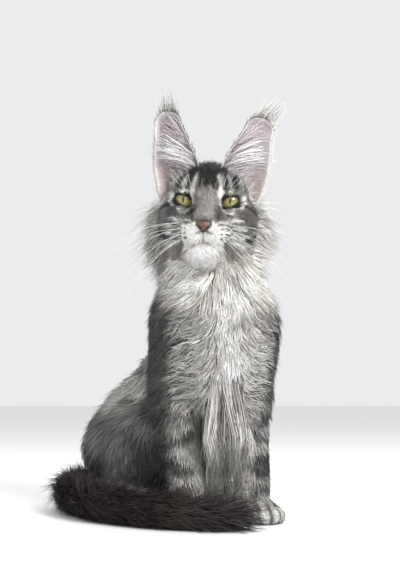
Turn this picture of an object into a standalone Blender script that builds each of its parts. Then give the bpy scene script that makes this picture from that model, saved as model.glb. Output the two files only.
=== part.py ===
"""A young Maine Coon cat, sitting upright with its tail laid round its feet, as a life-size museum model.

Metres, +Z up. The cat faces -Y, its left side is towards +X. It sits on the plane z = 0.
The body is one smooth form of overlapping masses, parted by thin cuts. Locks of the long coat are fused on.
"""

import math
import random

import bmesh
import bpy
import numpy as np
from mathutils import Euler, Matrix, Vector
from mathutils.bvhtree import BVHTree

# The collection of the cat's nodes
CAT = "maine_coon_cat"

# Gaps between nodes
GAP = 0.0003
HALF_GAP = GAP / 2
# Edges under this length are closed up, and two corners that meet are parted by this much
SLIVER = 0.000003
PINCH_GAP = 0.00008

# Head: its frame starts midway between the eyeballs, nose towards local -Y
HEAD_AT = Vector((-0.0054, -0.021, 0.2998))
HEAD_PITCH = math.radians(7)
HEAD_ROLL = math.radians(3)
HEAD_YAW = math.radians(-4)
EYE_SPREAD = 0.0219
EYE_RADIUS = 0.0102
EYE_SLANT = math.radians(22)
EYE_OPEN_WIDTH = 0.0175
EYE_OPEN_HEIGHT = 0.0092
LID_THICK = 0.0021
EAR_ROOT = Vector((0.0290, 0.018, 0.016))
EAR_TIP_LEFT = Vector((0.0490, 0.012, 0.0815))
EAR_TIP_RIGHT = Vector((-0.0450, 0.012, 0.0850))
EAR_TURN_OUT = math.radians(22)
EAR_THICK = 0.0022
EAR_BELOW_ROOT = 0.32
# Half the ear's width at each share of its height above the root
EAR_HALF_WIDTHS = [
    (-0.32, 0.0225),
    (0.00, 0.0242),
    (0.30, 0.0236),
    (0.50, 0.0198),
    (0.73, 0.0150),
    (0.89, 0.0114),
    (0.96, 0.0076),
    (1.00, 0.0030),
]
# The lips' line on one side of the muzzle: across and up, in the head's frame
MOUTH_LINE = [
    (0.0000, -0.0310),
    (0.0000, -0.0372),
    (0.0035, -0.0400),
    (0.0080, -0.0422),
    (0.0125, -0.0440),
    (0.0160, -0.0444),
]
MOUTH_GROOVE = 0.0010

# Where the body is parted: a point on each plane, and the plane's outward normal
NECK_TOP = (Vector((-0.004, 0.014, 0.250)), Vector((0, -0.55, 0.83)))
NECK_BASE = (Vector((-0.002, 0.030, 0.216)), Vector((0, -0.36, 0.93)))
ARMPIT_LEFT = (Vector((0.040, 0.030, 0.110)), Vector((-0.42, 0, 0.90)))
ARMPIT_RIGHT = (Vector((-0.036, 0.020, 0.110)), Vector((0.42, 0, 0.90)))
BETWEEN_FORELEGS = Vector((0.009, 0, 0))
BEHIND_LEFT_FORELEG = (Vector((0.040, 0.064, 0.060)), Vector((0, 1, 0)))
BEHIND_RIGHT_FORELEG = (Vector((0, 0.052, 0)), Vector((0, 1, 0)))
BEFORE_RIGHT_KNEE = (Vector((-0.0460, 0.0250, 0.060)), Vector((-0.80, 0.60, 0)))
HAUNCH_INSIDE = 0.024
HAUNCH_TOP = 0.118
WRIST_HEIGHT = 0.029
HINDPAW_LENGTH = 0.016
HOCK_HEIGHT = 0.046

# Trunk: the chest faces a little to the cat's left, the pelvis more so
CHEST_AT = Vector((0.002, 0.022, 0.0))
CHEST_YAW = math.radians(14)
CHEST_WIDTH = 0.085
CHEST_DEPTH = 0.098
SHOULDER_HEIGHT = 0.184
ELBOW_HEIGHT = 0.108
PELVIS_AT = Vector((-0.069, 0.128, 0.0))
PELVIS_YAW = math.radians(42)
PELVIS_HEIGHT = 0.0605
HAUNCH_SPREAD = 0.034

# Feet: where the middle of each paw stands
FOREPAW_LEFT = Vector((0.044, 0.012, 0.0))
FOREPAW_RIGHT = Vector((-0.031, -0.008, 0.0))
FOREPAW_LEFT_YAW = math.radians(24)
FOREPAW_RIGHT_YAW = math.radians(4)
HINDPAW_LEFT_YAW = math.radians(42)
HINDPAW_RIGHT_YAW = math.radians(31)
PAW_LENGTH = 0.036
PAW_RADIUS = 0.0155
TOE_RADIUS = 0.0083
SOLE_SINK = 0.0015

# Tail: centre line on the floor, and the core's radius along it
TAIL_LINE = [
    Vector((-0.090, 0.160, 0.040)),
    Vector((-0.114, 0.174, 0.028)),
    Vector((-0.137, 0.154, 0.016)),
    Vector((-0.147, 0.110, 0.014)),
    Vector((-0.136, 0.064, 0.014)),
    Vector((-0.107, 0.020, 0.015)),
    Vector((-0.062, -0.017, 0.015)),
    Vector((-0.018, -0.038, 0.014)),
    Vector((0.008, -0.042, 0.013)),
]
TAIL_CUTS = (3, 6)
TAIL_RADII = [0.0130, 0.0120, 0.0112, 0.0108, 0.0105, 0.0102, 0.0098, 0.0088, 0.0060]

# Locks of the long coat: how deep a root sits, and the thickness of a lock
ROOT_DEPTH = 0.0036
LOCK_THICK = 0.0019
TUFT_THICK = 0.0013
# Stations along a lock: share of its length, of its width and of its thickness
LOCK_SHAPE = [(0.0, 0.40, 0.8), (0.15, 0.80, 1.0), (0.58, 1.0, 0.85)]
LOCK_SHARES = [share for share, _, _ in LOCK_SHAPE] + [1.0]
SEED = 11
# Where a line cast at the body to find a lock's root starts, away from its middle
CAST_FROM = 0.12

# Ruff behind each cheek: how far behind the eyes, number of locks, length, and lift of the tips
CHEEK_ROWS = [(0.012, 3, 0.023, 0.008), (0.028, 4, 0.031, 0.011)]
CHEEK_TOP = -0.012
CHEEK_BOTTOM = -0.046
CHEEK_LOCK_WIDTH = 0.015
# Beard under the jaw
BEARD_COUNT = 6
BEARD_SPREAD = math.radians(66)
BEARD_RISE = 0.009
BEARD_LENGTH = 0.030
BEARD_WIDTH = 0.017
# Rows round the neck: share of the way down it, number of locks, length
NECK_ROWS = [(0.24, 9, 0.036), (0.74, 9, 0.038)]
NECK_MIDDLE = Vector((-0.003, 0.016, 0))
NECK_RADIUS = 0.044
NECK_LOCK_WIDTH = 0.024
# Tiers down the chest: how far below the neck, number of locks, half of the turn that they span
CHEST_TIERS = [
    (0.008, 8, math.radians(125)),
    (0.032, 7, math.radians(115)),
    (0.056, 6, math.radians(95)),
]
CHEST_LOCK_LENGTH = 0.044
CHEST_LOCK_WIDTH = 0.024
# Long locks that hang between the forelegs: how far to the left, height of the root, length
APRON_LOCKS = [
    (-0.024, 0.116, 0.056),
    (-0.013, 0.109, 0.074),
    (-0.002, 0.106, 0.086),
    (0.010, 0.108, 0.080),
    (0.022, 0.114, 0.060),
]
APRON_LOCK_WIDTH = 0.017
# Back and flanks: share of the way from the chest to the pelvis
FLANK_SHARES = [-0.12, 0.17, 0.46, 0.75]
FLANK_LOCKS = 5
FLANK_LOCK_LENGTH = 0.045
FLANK_LOCK_WIDTH = 0.024
# Rump: height, and how far to the left
RUMP_LOCKS = [(0.102, -0.011), (0.100, 0.011), (0.072, 0.0)]
RUMP_LOCK_LENGTH = 0.036
RUMP_LOCK_WIDTH = 0.024
# Britches on each haunch: height of each tier, and number of locks
BRITCHES_TIERS = [(0.104, 4), (0.079, 4), (0.054, 4)]
BRITCHES_LENGTH = 0.040
BRITCHES_WIDTH = 0.022
# Behind each elbow: how far below it
ELBOW_DROPS = [0.008, 0.030]
ELBOW_LOCK_LENGTH = 0.030
ELBOW_LOCK_WIDTH = 0.015
# Tail: rows of locks, locks in a row, reach along the tail's knots, and spread of the tips
TAIL_ROWS = 9
TAIL_ROW_LOCKS = 5
TAIL_LOCK_REACH = 1.15
TAIL_LOCK_SPREAD = 0.011
TAIL_LOCK_WIDTH = 0.0140
# Ears: how far each lock of the tip's tuft leans, and the height of each lock across the opening
EAR_TUFT_LEANS = [-0.8, -0.27, 0.27, 0.8]
EAR_TUFT_LENGTH = 0.033
EAR_TUFT_WIDTH = 0.0052
EAR_FRINGE_HEIGHTS = [0.02, 0.19, 0.36, 0.53]
EAR_FRINGE_RISE = 0.34
EAR_FRINGE_BOW = 0.0050
EAR_FRINGE_ARCH = 0.0055
EAR_FRINGE_WIDTH = 0.0085
# Each node is cut clear of the locks of those before it
FUSE_ORDER = [
    "eye_left",
    "eye_right",
    "nose",
    "head",
    "ear_left",
    "ear_right",
    "neck",
    "torso",
    "foreleg_left",
    "foreleg_right",
    "forepaw_left",
    "forepaw_right",
    "hindleg_left",
    "hindleg_right",
    "hindpaw_left",
    "hindpaw_right",
    "tail_base",
    "tail_middle",
    "tail_tip",
]

# Mesh detail
BODY_VOXEL = 0.0050
HEAD_VOXEL = 0.0024
PAW_VOXEL = 0.0024
NOSE_VOXEL = 0.0012
TAIL_VOXEL = 0.0045
BODY_TRIANGLES = 2840
HEAD_TRIANGLES = 1850
PAW_TRIANGLES = 340
NOSE_TRIANGLES = 200
TAIL_TRIANGLES = 430
EYE_SEGMENTS = 18
SOCKET_SEGMENTS = 12
SHARP_ANGLE = math.radians(40)

# Colours and finish of each material: red, green, blue, roughness
FINISHES = {
    "coat_grey": (0.26, 0.26, 0.27, 0.85),
    "coat_silver": (0.62, 0.61, 0.60, 0.85),
    "coat_dark": (0.05, 0.045, 0.045, 0.80),
    "ear_skin": (0.62, 0.52, 0.50, 0.70),
    "nose_leather": (0.36, 0.17, 0.14, 0.45),
    "eye": (0.48, 0.45, 0.17, 0.08),
}


def clear_scene():
    """Empties the scene and makes the collection that holds the cat."""
    for obj in list(bpy.data.objects):
        bpy.data.objects.remove(obj)
    cat = bpy.data.collections.new(CAT)
    bpy.context.scene.collection.children.link(cat)


def material(name):
    found = bpy.data.materials.get(name)
    if found:
        return found
    made = bpy.data.materials.new(name)
    made.use_nodes = True
    shader = made.node_tree.nodes["Principled BSDF"]
    red, green, blue, roughness = FINISHES[name]
    shader.inputs["Base Color"].default_value = (red, green, blue, 1)
    shader.inputs["Roughness"].default_value = roughness
    shader.inputs["Metallic"].default_value = 0
    made.diffuse_color = (red, green, blue, 1)
    return made


def heading(yaw):
    """Unit vectors on the floor: forwards and to the cat's left, for a body turned by yaw."""
    forward = Vector((math.sin(yaw), -math.cos(yaw), 0))
    left = Vector((math.cos(yaw), math.sin(yaw), 0))
    return forward, left


def chest_point(ahead, left_by, height):
    forward, left = heading(CHEST_YAW)
    return CHEST_AT + forward * ahead + left * left_by + Vector((0, 0, height))


def pelvis_point(ahead, left_by, height):
    forward, left = heading(PELVIS_YAW)
    return PELVIS_AT + forward * ahead + left * left_by + Vector((0, 0, height))


def head_matrix():
    turn = Euler((HEAD_PITCH, HEAD_ROLL, HEAD_YAW), "XYZ").to_matrix().to_4x4()
    return Matrix.Translation(HEAD_AT) @ turn


def head_point(x, y, z):
    return head_matrix() @ Vector((x, y, z))


class Limb:
    """A tapered round mass between two balls. A pressed one is a dent in what comes before it."""

    def __init__(self, start, end, start_radius, end_radius, blend, pressed=False):
        self.start, self.end = Vector(start), Vector(end)
        self.start_radius, self.end_radius = start_radius, end_radius
        self.blend, self.pressed = blend, pressed

    def distance(self, points):
        start = np.array(self.start)
        axis = np.array(self.end) - start
        along = np.clip((points - start) @ axis / max(axis @ axis, 1e-12), 0, 1)
        radius = self.start_radius + along * (self.end_radius - self.start_radius)
        return np.linalg.norm(points - start - along[:, None] * axis, axis=1) - radius

    def add_to(self, bm):
        own = bmesh.new()
        for centre, radius in ((self.start, self.start_radius), (self.end, self.end_radius)):
            place = Matrix.Translation(centre)
            bmesh.ops.create_icosphere(own, subdivisions=2, radius=radius, matrix=place)
        hull = bmesh.ops.convex_hull(own, input=own.verts[:])
        inside = [v for v in hull["geom_interior"] if isinstance(v, bmesh.types.BMVert)]
        bmesh.ops.delete(own, geom=inside, context="VERTS")
        mesh = bpy.data.meshes.new("limb")
        own.to_mesh(mesh)
        own.free()
        bm.from_mesh(mesh)
        bpy.data.meshes.remove(mesh)


class Egg:
    """An ellipsoid mass with its own turn. A pressed one is a dent in what comes before it."""

    def __init__(self, centre, radii, turn, blend, pressed=False):
        self.centre, self.radii, self.turn = Vector(centre), radii, turn.to_3x3()
        self.blend, self.pressed = blend, pressed

    def distance(self, points):
        local = (points - np.array(self.centre)) @ np.array(self.turn)
        radii = np.array(self.radii)
        scaled = np.linalg.norm(local / radii, axis=1)
        slope = np.linalg.norm(local / radii**2, axis=1)
        return scaled * (scaled - 1) / np.maximum(slope, 1e-9)

    def add_to(self, bm):
        stretch = Matrix.Diagonal((*self.radii, 1))
        place = Matrix.Translation(self.centre) @ self.turn.to_4x4() @ stretch
        bmesh.ops.create_icosphere(bm, subdivisions=3, radius=1, matrix=place)


def smooth_field(points, masses):
    """Distance to the masses, blended where they meet, each pressed one taken away in its turn."""
    total = masses[0].distance(points)
    for mass in masses[1:]:
        sign = -1 if mass.pressed else 1
        other = mass.distance(points)
        share = np.clip(0.5 + 0.5 * (other - sign * total) / mass.blend, 0, 1)
        joined = other + (sign * total - other) * share - mass.blend * share * (1 - share)
        total = sign * joined
    return total


def settle(mesh, masses, rounds=6, step=0.0004):
    """Moves each vertex onto the surface of the blended masses."""
    points = np.empty(len(mesh.vertices) * 3)
    mesh.vertices.foreach_get("co", points)
    points = points.reshape(-1, 3)
    for _ in range(rounds):
        slope = np.empty_like(points)
        for axis in range(3):
            shift = np.zeros(3)
            shift[axis] = step
            ahead = smooth_field(points + shift, masses)
            behind = smooth_field(points - shift, masses)
            slope[:, axis] = (ahead - behind) / (2 * step)
        depth = smooth_field(points, masses)
        size = np.maximum((slope**2).sum(axis=1), 0.2)
        points -= (np.clip(depth, -0.004, 0.004) / size)[:, None] * slope
    mesh.vertices.foreach_set("co", points.ravel())
    mesh.update()


def new_object(name, mesh, finish=None):
    obj = bpy.data.objects.new(name, mesh)
    bpy.data.collections[CAT].objects.link(obj)
    if finish:
        obj.data.materials.clear()
        obj.data.materials.append(material(finish))
    return obj


def apply_modifiers(obj):
    graph = bpy.context.evaluated_depsgraph_get()
    graph.update()
    made = bpy.data.meshes.new_from_object(obj.evaluated_get(graph))
    obj.modifiers.clear()
    obj.data = made
    return obj


def thin_out(obj, triangles):
    """Collapses edges down to about this many triangles."""
    bm = bmesh.new()
    bm.from_mesh(obj.data)
    bmesh.ops.triangulate(bm, faces=bm.faces[:])
    bm.to_mesh(obj.data)
    bm.free()
    modifier = obj.modifiers.new("thin_out", "DECIMATE")
    modifier.ratio = min(1.0, triangles / len(obj.data.polygons))
    modifier.use_collapse_triangulate = True
    return apply_modifiers(obj)


def blended_body(name, masses, voxel, triangles, finish=None):
    """One closed, smooth body of overlapping masses."""
    bm = bmesh.new()
    for mass in masses:
        if not mass.pressed:
            mass.add_to(bm)
    mesh = bpy.data.meshes.new(name)
    bm.to_mesh(mesh)
    bm.free()
    obj = new_object(name, mesh)
    modifier = obj.modifiers.new("fuse", "REMESH")
    modifier.mode = "VOXEL"
    modifier.voxel_size = voxel
    apply_modifiers(obj)
    settle(obj.data, masses)
    thin_out(obj, triangles)
    if finish:
        obj.data.materials.clear()
        obj.data.materials.append(material(finish))
    return keep_largest(obj)


def keep_largest(obj):
    """Keeps only the largest closed surface."""
    bm = bmesh.new()
    bm.from_mesh(obj.data)
    left, groups = set(bm.faces), []
    while left:
        seed = left.pop()
        group, front = {seed}, [seed]
        while front:
            for edge in front.pop().edges:
                for face in edge.link_faces:
                    if face in left:
                        left.discard(face)
                        group.add(face)
                        front.append(face)
        groups.append(group)
    groups.sort(key=lambda group: sum(face.calc_area() for face in group))
    loose = [face for group in groups[:-1] for face in group]
    bmesh.ops.delete(bm, geom=loose, context="FACES")
    bm.to_mesh(obj.data)
    bm.free()
    return obj


def slice_off(obj, point, normal):
    """Cuts the object by a plane and keeps the side that the normal points to."""
    bm = bmesh.new()
    bm.from_mesh(obj.data)
    every = bm.verts[:] + bm.edges[:] + bm.faces[:]
    cut = bmesh.ops.bisect_plane(
        bm, geom=every, dist=1e-7, plane_co=point, plane_no=normal, clear_inner=True
    )
    edges = [e for e in cut["geom_cut"] if isinstance(e, bmesh.types.BMEdge)]
    bmesh.ops.holes_fill(bm, edges=edges, sides=0)
    bmesh.ops.triangulate(bm, faces=[f for f in bm.faces if len(f.verts) > 3])
    bm.to_mesh(obj.data)
    bm.free()
    return obj


def region(planes, shift):
    """A convex block bounded by planes, each (point, outward normal), moved out by shift."""
    bm = bmesh.new()
    bmesh.ops.create_cube(bm, size=2)
    mesh = bpy.data.meshes.new("region")
    bm.to_mesh(mesh)
    bm.free()
    block = new_object("region", mesh)
    for point, normal in planes:
        outward = Vector(normal).normalized()
        slice_off(block, Vector(point) + outward * shift, -outward)
    return block


def boolean(obj, operation, other):
    modifier = obj.modifiers.new(operation, "BOOLEAN")
    modifier.operation = operation
    modifier.solver = "MANIFOLD"
    modifier.object = other
    return apply_modifiers(obj)


def copy_of(obj, name):
    return new_object(name, obj.data.copy())


def part_off(body, name, planes):
    """Cuts a named piece from the body along planes, with a thin gap, and returns it."""
    piece = copy_of(body, name)
    inner, outer = region(planes, -HALF_GAP), region(planes, HALF_GAP)
    keep_largest(boolean(piece, "INTERSECT", inner))
    keep_largest(boolean(body, "DIFFERENCE", outer))
    for block in (inner, outer):
        bpy.data.objects.remove(block)
    return piece


def grown(obj, by):
    """A copy of the object, moved out along its normals."""
    made = copy_of(obj, "grown")
    modifier = made.modifiers.new("grow", "DISPLACE")
    modifier.strength = by
    modifier.mid_level = 0
    return apply_modifiers(made)


def cut_clear(obj, other, gap=GAP):
    """Cuts obj so that it stays a gap away from the other object."""
    cutter = grown(other, gap)
    boolean(obj, "DIFFERENCE", cutter)
    bpy.data.objects.remove(cutter)
    return keep_largest(obj)


def trunk_masses():
    chest_turn = Matrix.Rotation(CHEST_YAW, 3, "Z")
    pelvis_turn = Matrix.Rotation(PELVIS_YAW, 3, "Z")
    half_width, half_depth = CHEST_WIDTH / 2, CHEST_DEPTH / 2
    return [
        Egg(chest_point(0, 0, 0.168), (half_width, half_depth, 0.066), chest_turn, 0.01),
        Egg(chest_point(0.002, 0, 0.205), (0.044, 0.044, 0.042), chest_turn, 0.02),
        Limb(chest_point(-0.022, 0, 0.162), pelvis_point(0.012, 0, 0.086), 0.042, 0.049, 0.03),
        Egg(pelvis_point(0, 0, PELVIS_HEIGHT), (0.051, 0.050, 0.0620), pelvis_turn, 0.03),
        Limb(chest_point(-0.004, -0.002, 0.215), head_point(0, 0.034, -0.030), 0.040, 0.038, 0.03),
    ]


def head_masses():
    turn = head_matrix().to_3x3()

    def egg(x, y, z, radii, blend):
        return Egg(head_point(x, y, z), radii, turn, blend)

    limb = limb_on_head
    masses = [
        egg(0, 0.024, 0.003, (0.037, 0.040, 0.029), 0.01),
        egg(0, 0.006, 0.010, (0.026, 0.020, 0.017), 0.012),
        egg(0, 0.024, -0.030, (0.031, 0.030, 0.023), 0.02),
        limb((0, -0.004, 0.001), (0, -0.0235, -0.0190), 0.0125, 0.0086, 0.014),
        egg(0, -0.012, -0.028, (0.021, 0.018, 0.018), 0.012),
        egg(0, -0.0180, -0.0475, (0.0145, 0.0125, 0.0120), 0.008),
    ]
    for side in (-1, 1):
        masses += [
            egg(side * 0.0275, 0.016, -0.018, (0.021, 0.024, 0.024), 0.016),
            egg(side * 0.0108, -0.0215, -0.0310, (0.0130, 0.0130, 0.0108), 0.006),
            limb((side * 0.008, -0.010, -0.045), (side * 0.023, 0.018, -0.036), 0.011, 0.015, 0.010),
            limb((side * 0.0175, 0.001, 0.010), (side * 0.0265, 0.006, 0.009), 0.0085, 0.0085, 0.008),
        ]
    for side in (-1, 1):
        dip = (side * 0.0180, -0.0150, -0.0045)
        masses.append(Egg(head_point(*dip), (0.0090, 0.0080, 0.0070), turn, 0.010, pressed=True))
    for side in (-1, 1):
        masses.append(egg(side * EYE_SPREAD, 0, 0, (EYE_RADIUS + LID_THICK,) * 3, 0.004))
    return masses


def foreleg_masses(side):
    """side is 1 for the cat's left and -1 for its right."""
    paw = FOREPAW_LEFT if side > 0 else FOREPAW_RIGHT
    shoulder = chest_point(0.004, side * 0.036, SHOULDER_HEIGHT)
    elbow = Vector((0.033, 0.044, ELBOW_HEIGHT)) if side > 0 else Vector((-0.037, 0.024, ELBOW_HEIGHT))
    wrist = Vector((paw.x - side * 0.006, paw.y + 0.008, 0.030))
    return [
        Limb(shoulder, elbow, 0.024, 0.021, 0.02),
        Limb(elbow, wrist, 0.0205, 0.0158, 0.01),
    ]


def hindleg_masses(side):
    hip = pelvis_point(-0.006, side * HAUNCH_SPREAD, 0.062)
    knee = pelvis_point(0.074, side * 0.056, 0.082)
    hock = pelvis_point(0.012, side * 0.052, 0.018)
    toes = hock + heading(hindpaw_place(side)[1])[0] * 0.066
    return [
        Limb(hip, knee, 0.036, 0.023, 0.02),
        Limb(knee, hock, 0.022, 0.016, 0.012),
        Limb(hock, toes + Vector((0, 0, -0.004)), 0.0165, 0.0150, 0.008),
    ]


def paw_masses(centre, yaw, length):
    """A paw of four toes round a pad, standing at centre and pointing along yaw."""
    forward, left = heading(yaw)
    turn = Matrix.Rotation(yaw, 3, "Z")
    low = Vector((0, 0, PAW_RADIUS * 0.80 - SOLE_SINK))
    masses = [Egg(centre + low, (PAW_RADIUS, length * 0.5, PAW_RADIUS * 0.80), turn, 0.008)]
    for across, ahead in ((-0.0118, 0.30), (-0.0042, 0.43), (0.0042, 0.43), (0.0118, 0.30)):
        toe = centre + left * across + forward * (length * ahead)
        toe = toe + Vector((0, 0, TOE_RADIUS - SOLE_SINK))
        back = toe - forward * 0.012 + Vector((0, 0, 0.004))
        masses.append(Limb(back, toe, TOE_RADIUS * 0.8, TOE_RADIUS, 0.0028))
    return masses


def forepaw_masses(side):
    centre = FOREPAW_LEFT if side > 0 else FOREPAW_RIGHT
    yaw = FOREPAW_LEFT_YAW if side > 0 else FOREPAW_RIGHT_YAW
    return paw_masses(centre, yaw, PAW_LENGTH)


def hindpaw_place(side):
    """Where the middle of a hind paw stands, and its yaw."""
    hock = pelvis_point(0.012, side * 0.052, 0)
    yaw = HINDPAW_LEFT_YAW if side > 0 else HINDPAW_RIGHT_YAW
    return hock + heading(yaw)[0] * 0.070, yaw


def hindpaw_masses(side):
    centre, yaw = hindpaw_place(side)
    return paw_masses(centre, yaw, PAW_LENGTH)


def tail_at(knot):
    """Place and core radius at a fractional knot of the tail's line, on a smooth curve."""
    first = min(int(knot), len(TAIL_LINE) - 2)
    t = knot - first
    last = len(TAIL_LINE) - 1
    ends = [min(max(first + k, 0), last) for k in (-1, 0, 1, 2)]

    def smooth(a, b, c, d):
        square, cube = 2 * a - 5 * b + 4 * c - d, 3 * b - a - 3 * c + d
        return 0.5 * (2 * b + (c - a) * t + square * t**2 + cube * t**3)

    place = smooth(*[TAIL_LINE[i] for i in ends])
    radius = smooth(*[TAIL_RADII[i] for i in ends])
    return place, radius


def tail_masses(steps=4):
    knots = [i / steps for i in range((len(TAIL_LINE) - 1) * steps + 1)]
    stations = [tail_at(knot) for knot in knots]
    return [
        Limb(start, end, start_radius, end_radius, 0.004)
        for (start, start_radius), (end, end_radius) in zip(stations, stations[1:])
    ]


def body_masses():
    masses = trunk_masses() + head_masses()
    for side in (1, -1):
        masses += foreleg_masses(side) + hindleg_masses(side)
    return masses


def almond(width, height, corners=20):
    """Outline of the eye's opening, pointed at both corners."""
    points = []
    for i in range(corners):
        angle = 2 * math.pi * i / corners
        across = math.copysign(abs(math.cos(angle)) ** 1.15, math.cos(angle))
        points.append((across * width / 2, math.sin(angle) * height / 2))
    return points


def prism(name, outline, depth):
    """A flat outline in local XZ, given as (x, z), drawn out along -Y by depth."""
    bm = bmesh.new()
    face = bm.faces.new([bm.verts.new((x, 0, z)) for x, z in outline])
    made = bmesh.ops.extrude_face_region(bm, geom=[face])
    moved = [v for v in made["geom"] if isinstance(v, bmesh.types.BMVert)]
    bmesh.ops.translate(bm, verts=moved, vec=(0, -depth, 0))
    bmesh.ops.recalc_face_normals(bm, faces=bm.faces)
    bmesh.ops.triangulate(bm, faces=bm.faces[:])
    mesh = bpy.data.meshes.new(name)
    bm.to_mesh(mesh)
    bm.free()
    return new_object(name, mesh)


def ball(name, centre, radius, segments, finish=None):
    """A sphere with its poles before and behind."""
    bm = bmesh.new()
    turn = head_matrix().to_3x3().to_4x4() @ Matrix.Rotation(math.pi / 2, 4, "X")
    place = Matrix.Translation(centre) @ turn
    rings = segments // 2
    bmesh.ops.create_uvsphere(bm, u_segments=segments, v_segments=rings, radius=radius, matrix=place)
    bmesh.ops.triangulate(bm, faces=bm.faces[:])
    mesh = bpy.data.meshes.new(name)
    bm.to_mesh(mesh)
    bm.free()
    return new_object(name, mesh, finish)


def tube(name, points, radius, sides=2):
    """A closed round tube along a smooth line, as a mesh."""
    curve = bpy.data.curves.new(name, "CURVE")
    curve.dimensions = "3D"
    curve.bevel_depth = radius
    curve.bevel_resolution = sides
    curve.use_fill_caps = True
    spline = curve.splines.new("POLY")
    spline.points.add(len(points) - 1)
    for knot, point in zip(spline.points, points):
        knot.co = (*point, 1)
    drawn = bpy.data.objects.new(name, curve)
    bpy.context.scene.collection.objects.link(drawn)
    graph = bpy.context.evaluated_depsgraph_get()
    graph.update()
    mesh = bpy.data.meshes.new_from_object(drawn.evaluated_get(graph))
    bm = bmesh.new()
    bm.from_mesh(mesh)
    bmesh.ops.remove_doubles(bm, verts=bm.verts, dist=1e-5)
    bmesh.ops.triangulate(bm, faces=bm.faces[:])
    bm.to_mesh(mesh)
    bm.free()
    bpy.data.objects.remove(drawn)
    return new_object(name, mesh)


def tree_of(obj):
    bm = bmesh.new()
    bm.from_mesh(obj.data)
    tree = BVHTree.FromBMesh(bm)
    bm.free()
    return tree


def make_eye(side, word):
    return ball(f"eye_{word}", head_point(side * EYE_SPREAD, 0, 0), EYE_RADIUS, EYE_SEGMENTS, "eye")


def open_eye(head, side):
    """Cuts the socket and the slit between the lids."""
    centre = head_point(side * EYE_SPREAD, 0, 0)
    flat = math.cos(math.pi / SOCKET_SEGMENTS) ** 2
    socket = ball("socket", centre, (EYE_RADIUS + GAP) / flat, SOCKET_SEGMENTS)
    boolean(head, "DIFFERENCE", socket)
    slit = prism("slit", almond(EYE_OPEN_WIDTH, EYE_OPEN_HEIGHT), 0.03)
    slant = Matrix.Rotation(-side * EYE_SLANT, 4, "Y")
    slit.data.transform(Matrix.Translation(centre) @ head_matrix().to_3x3().to_4x4() @ slant)
    boolean(head, "DIFFERENCE", slit)
    for cutter in (socket, slit):
        bpy.data.objects.remove(cutter)


def carve_mouth(head):
    """Presses the line of the lips into the muzzle."""
    tree = tree_of(head)
    toward = head_matrix().to_3x3() @ Vector((0, 1, 0))
    for side in (-1, 1):
        line = []
        for across, up in MOUTH_LINE:
            start = head_point(side * across, -0.08, up)
            line.append(tree.ray_cast(start, toward)[0] - toward * (MOUTH_GROOVE * 0.25))
        groove = tube("groove", line, MOUTH_GROOVE)
        boolean(head, "DIFFERENCE", groove)
        bpy.data.objects.remove(groove)


def limb_on_head(start, end, start_radius, end_radius, blend):
    return Limb(head_point(*start), head_point(*end), start_radius, end_radius, blend)


def nose_masses():
    """The leather of the nose, with a dent for each nostril."""
    limb = limb_on_head
    masses = [
        limb((-0.0060, -0.0306, -0.0240), (0.0060, -0.0306, -0.0240), 0.0040, 0.0040, 0.002),
        limb((0, -0.0318, -0.0250), (0, -0.0318, -0.0310), 0.0052, 0.0028, 0.003),
        limb((-0.0030, -0.0290, -0.0230), (0.0030, -0.0290, -0.0230), 0.0048, 0.0048, 0.002),
    ]
    for side in (-1, 1):
        inner = head_point(side * 0.0040, -0.0372, -0.0266)
        outer = head_point(side * 0.0096, -0.0338, -0.0240)
        masses.append(Limb(inner, outer, 0.0015, 0.0009, 0.0008, pressed=True))
    return masses


def bounds_of(obj):
    points = [vertex.co for vertex in obj.data.vertices]
    low = Vector([min(p[axis] for p in points) for axis in range(3)])
    high = Vector([max(p[axis] for p in points) for axis in range(3)])
    return low, high


def boxes_meet(obj, other):
    (low, high), (other_low, other_high) = bounds_of(obj), bounds_of(other)
    return all(low[axis] <= other_high[axis] and other_low[axis] <= high[axis] for axis in range(3))


def only_near(locks, node):
    """The locks whose boxes meet the node's. The rest are removed."""
    kept = [lock for lock in locks if boxes_meet(lock, node)]
    for lock in locks:
        if lock not in kept:
            bpy.data.objects.remove(lock)
    return kept


def fans_at(vertex):
    """The faces round a vertex, in groups that share edges."""
    left, fans = set(vertex.link_faces), []
    while left:
        fan = [left.pop()]
        for face in fan:
            for edge in face.edges:
                if vertex in edge.verts:
                    fan += [other for other in edge.link_faces if other in left]
                    left.difference_update(edge.link_faces)
        fans.append(fan)
    return fans


def clean(obj):
    """Closes up slivers, and parts two corners of the surface that meet in one vertex."""
    bm = bmesh.new()
    bm.from_mesh(obj.data)
    bmesh.ops.triangulate(bm, faces=[face for face in bm.faces if len(face.verts) > 3])
    bmesh.ops.dissolve_degenerate(bm, edges=bm.edges[:], dist=SLIVER)
    bmesh.ops.triangulate(bm, faces=[face for face in bm.faces if len(face.verts) > 3])
    for vertex in bm.verts[:]:
        for fan in fans_at(vertex)[1:]:
            middle = sum((face.calc_center_median() for face in fan), Vector()) / len(fan)
            toward = (middle - vertex.co).normalized()
            own = bm.verts.new(vertex.co + toward * PINCH_GAP)
            for face in fan:
                bm.faces.new([own if corner is vertex else corner for corner in face.verts])
            bmesh.ops.delete(bm, geom=fan, context="FACES_ONLY")
    bm.to_mesh(obj.data)
    bm.free()
    obj.data.update()
    return keep_largest(obj)


def join(node, operation, pieces):
    """One Boolean with a collection of closed meshes, which are then removed."""
    group = bpy.data.collections.new("pieces")
    bpy.context.scene.collection.children.link(group)
    for piece in pieces:
        bpy.data.collections[CAT].objects.unlink(piece)
        group.objects.link(piece)
    modifier = node.modifiers.new(operation, "BOOLEAN")
    modifier.operation = operation
    modifier.solver = "MANIFOLD"
    modifier.operand_type = "COLLECTION"
    modifier.collection = group
    apply_modifiers(node)
    for piece in pieces:
        bpy.data.objects.remove(piece)
    bpy.data.collections.remove(group)


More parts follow.
